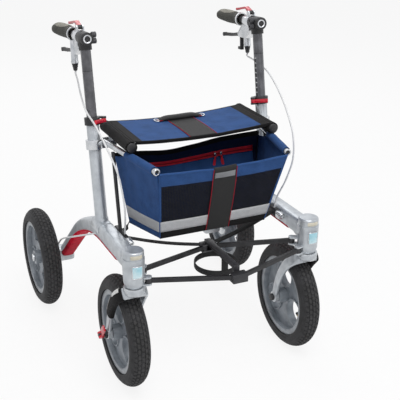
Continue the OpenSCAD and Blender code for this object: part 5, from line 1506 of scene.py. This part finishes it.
def pocket_point(x, z, out):
    """A point inside the rear wall, out from it into the basket."""
    t = share_at(z)
    u = 0.5 - x / (2 * lerp(*BAG_REAR_X, t))
    return bag_point("rear", u, t, -out)


xs = [lerp(*POCKET_X, i / POCKET_STEPS) for i in range(POCKET_STEPS + 1)]
rows = []
for j in range(POCKET_LINES + 1):
    bulge = [POCKET_BULGE * math.sin(math.pi * j / POCKET_LINES) * math.sin(math.pi * i / POCKET_STEPS)
             for i in range(POCKET_STEPS + 1)]
    z = lerp(*POCKET_Z, j / POCKET_LINES)
    rows.append([pocket_point(x, z, POCKET_IN + b) for x, b in zip(xs, bulge)])
pocket = sewn("basket_pocket", skin(rows), BLUE, POCKET_THICK)
rows = []
for j in range(ZIP_LINES + 1):
    z = POCKET_Z[1] + lerp(ZIP_LOW, ZIP_HIGH, j / ZIP_LINES)
    rows.append([pocket_point(x, z, ZIP_IN - ZIP_LEAN * j) for x in xs])
sewn("basket_zip", skin(rows), ZIP, ZIP_THICK)
teeth = [pocket_point(lerp(*TEETH_X, i / TEETH_STEPS), TEETH_Z, TEETH_IN) for i in range(TEETH_STEPS + 1)]
sewn("basket_zip_teeth", tube(teeth, TEETH_R, 8), PIPING)
print("pocket", POCKET_X[1] - POCKET_X[0], "mm wide")

# %% sliders and pulls
SLIDER_X, SLIDER_GAP, SLIDER_Z, SLIDER_IN, SLIDER_SIZE, SLIDER_SOFT = 82, 9, 585, 9.5, (7, 6, 12), 1.6
PULL_STEPS, PULL_SPLAY, PULL_START, PULL_END = 8, 7, (-3.5, -4), (-1.2, -38)  # forwards and up
PULL_HALF, PULL_WIDER, PULL_THICK, PULL_NECK = 3.0, 1.4, 1.5, 2  # the neck's length in steps

for tag, k in SIDES.items():
    top = pocket_point(k * SLIDER_GAP + SLIDER_X, SLIDER_Z, SLIDER_IN)
    sewn(f"zip_slider_{tag}", block(top, SLIDER_SIZE, SLIDER_SOFT, 4, 20), BRIGHT)
    hang, flat = [], []
    for q in range(PULL_STEPS + 1):
        t = q / PULL_STEPS
        y, z = (start + end * t for start, end in zip(PULL_START, PULL_END))
        hang.append(top + Vector((k * PULL_SPLAY * t, y, z)))
        flat.append(oval(PULL_HALF + (PULL_WIDER if q > PULL_NECK else 0), PULL_THICK, 12, 3))
    sewn(f"zip_pull_{tag}", sweep(hang, flat), ZIP)
print("2 sliders with their pulls")

# %% [markdown]
# ## Webbing under the basket
# Two spreader straps run from the beams to the centre block. On the real frame they bend as the links turn;
# here each is one fixed piece that rides on no body. Ties hold the basket's foot to the beams, and a pull
# loop for folding hangs from the spine. Webbing is flat, so all of it is a thin outline carried along a line.

# %% spreader straps and ties
# a strap's ends: out, back from the head and up at the beam, and out and up at the centre block
SPREAD_FROM, SPREAD_TO = (217.9, 142, 407), (23.5, 367.3)
SPREAD_SAG, SPREAD_STEPS, SPREAD_HALF, BEND_FROM, BEND_TO = 5.0, 24, (1.3, 10), 0.05, 0.6
TIE_BACK, TIE_HALF = 197, (1.1, 10)
TIE = [(220, 0, 406.4), (212, 0, 406.2), (204, 0, 408.5), (199, 0, 416), (195.5, -2, 427)]

for side, s in SIDES.items():
    a = Vector((s * SPREAD_FROM[0], HEAD_Y + SPREAD_FROM[1], SPREAD_FROM[2]))
    b = Vector((s * SPREAD_TO[0], CENTRE_Y, SPREAD_TO[1]))
    shares = [k / SPREAD_STEPS for k in range(SPREAD_STEPS + 1)]
    line = [a.lerp(b, t) - Vector((0, 0, SPREAD_SAG * math.sin(math.pi * t))) for t in shares]
    strap = sweep(line, oval(*SPREAD_HALF, 16, 4), hint=(0, 0, 1))
    o = piece(f"{side}_spreader_strap", strap, WEB, None)
    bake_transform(o)
    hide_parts("webbing")
    line = spline([(s * x, HEAD_Y + TIE_BACK + y, z) for x, y, z in TIE], 6)
    tie = sweep(line, oval(*TIE_HALF, 16, 4), hint=(0, 0, 1))
    piece(f"{side}_basket_tie", tie, WEB, f"{side}_frame")
print("spreader straps and ties")

# %% pull loop
HOOP_R, HOOP_BACK, HOOP_Z, HOOP_TILT, HOOP_POINTS = 58, 52, 326.5, 2.5, 64
HOOP_OUTLINE, HANGER_OUTLINE = oval(8.5, 1.5, 16, 4), oval(10, 1.5, 16, 4)
HANGER_BACK, HANGER_Z = -5, (326, 336, 346, 356, 366)

turns = [2 * math.pi * k / HOOP_POINTS for k in range(HOOP_POINTS)]
loop = [(HOOP_R * math.sin(t), HEAD_Y + HOOP_BACK - HOOP_R * math.cos(t), HOOP_Z - HOOP_TILT * math.cos(t))
        for t in turns]
pull = sweep(loop, HOOP_OUTLINE, hint=(0, 0, 1), closed=True)
tab = sweep([(0, HEAD_Y + HANGER_BACK, z) for z in HANGER_Z], HANGER_OUTLINE)
o = piece("pull_loop", merge(pull, tab), WEB, "centre")
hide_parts("webbing")
print("pull loop", 2 * HOOP_R, "mm across")
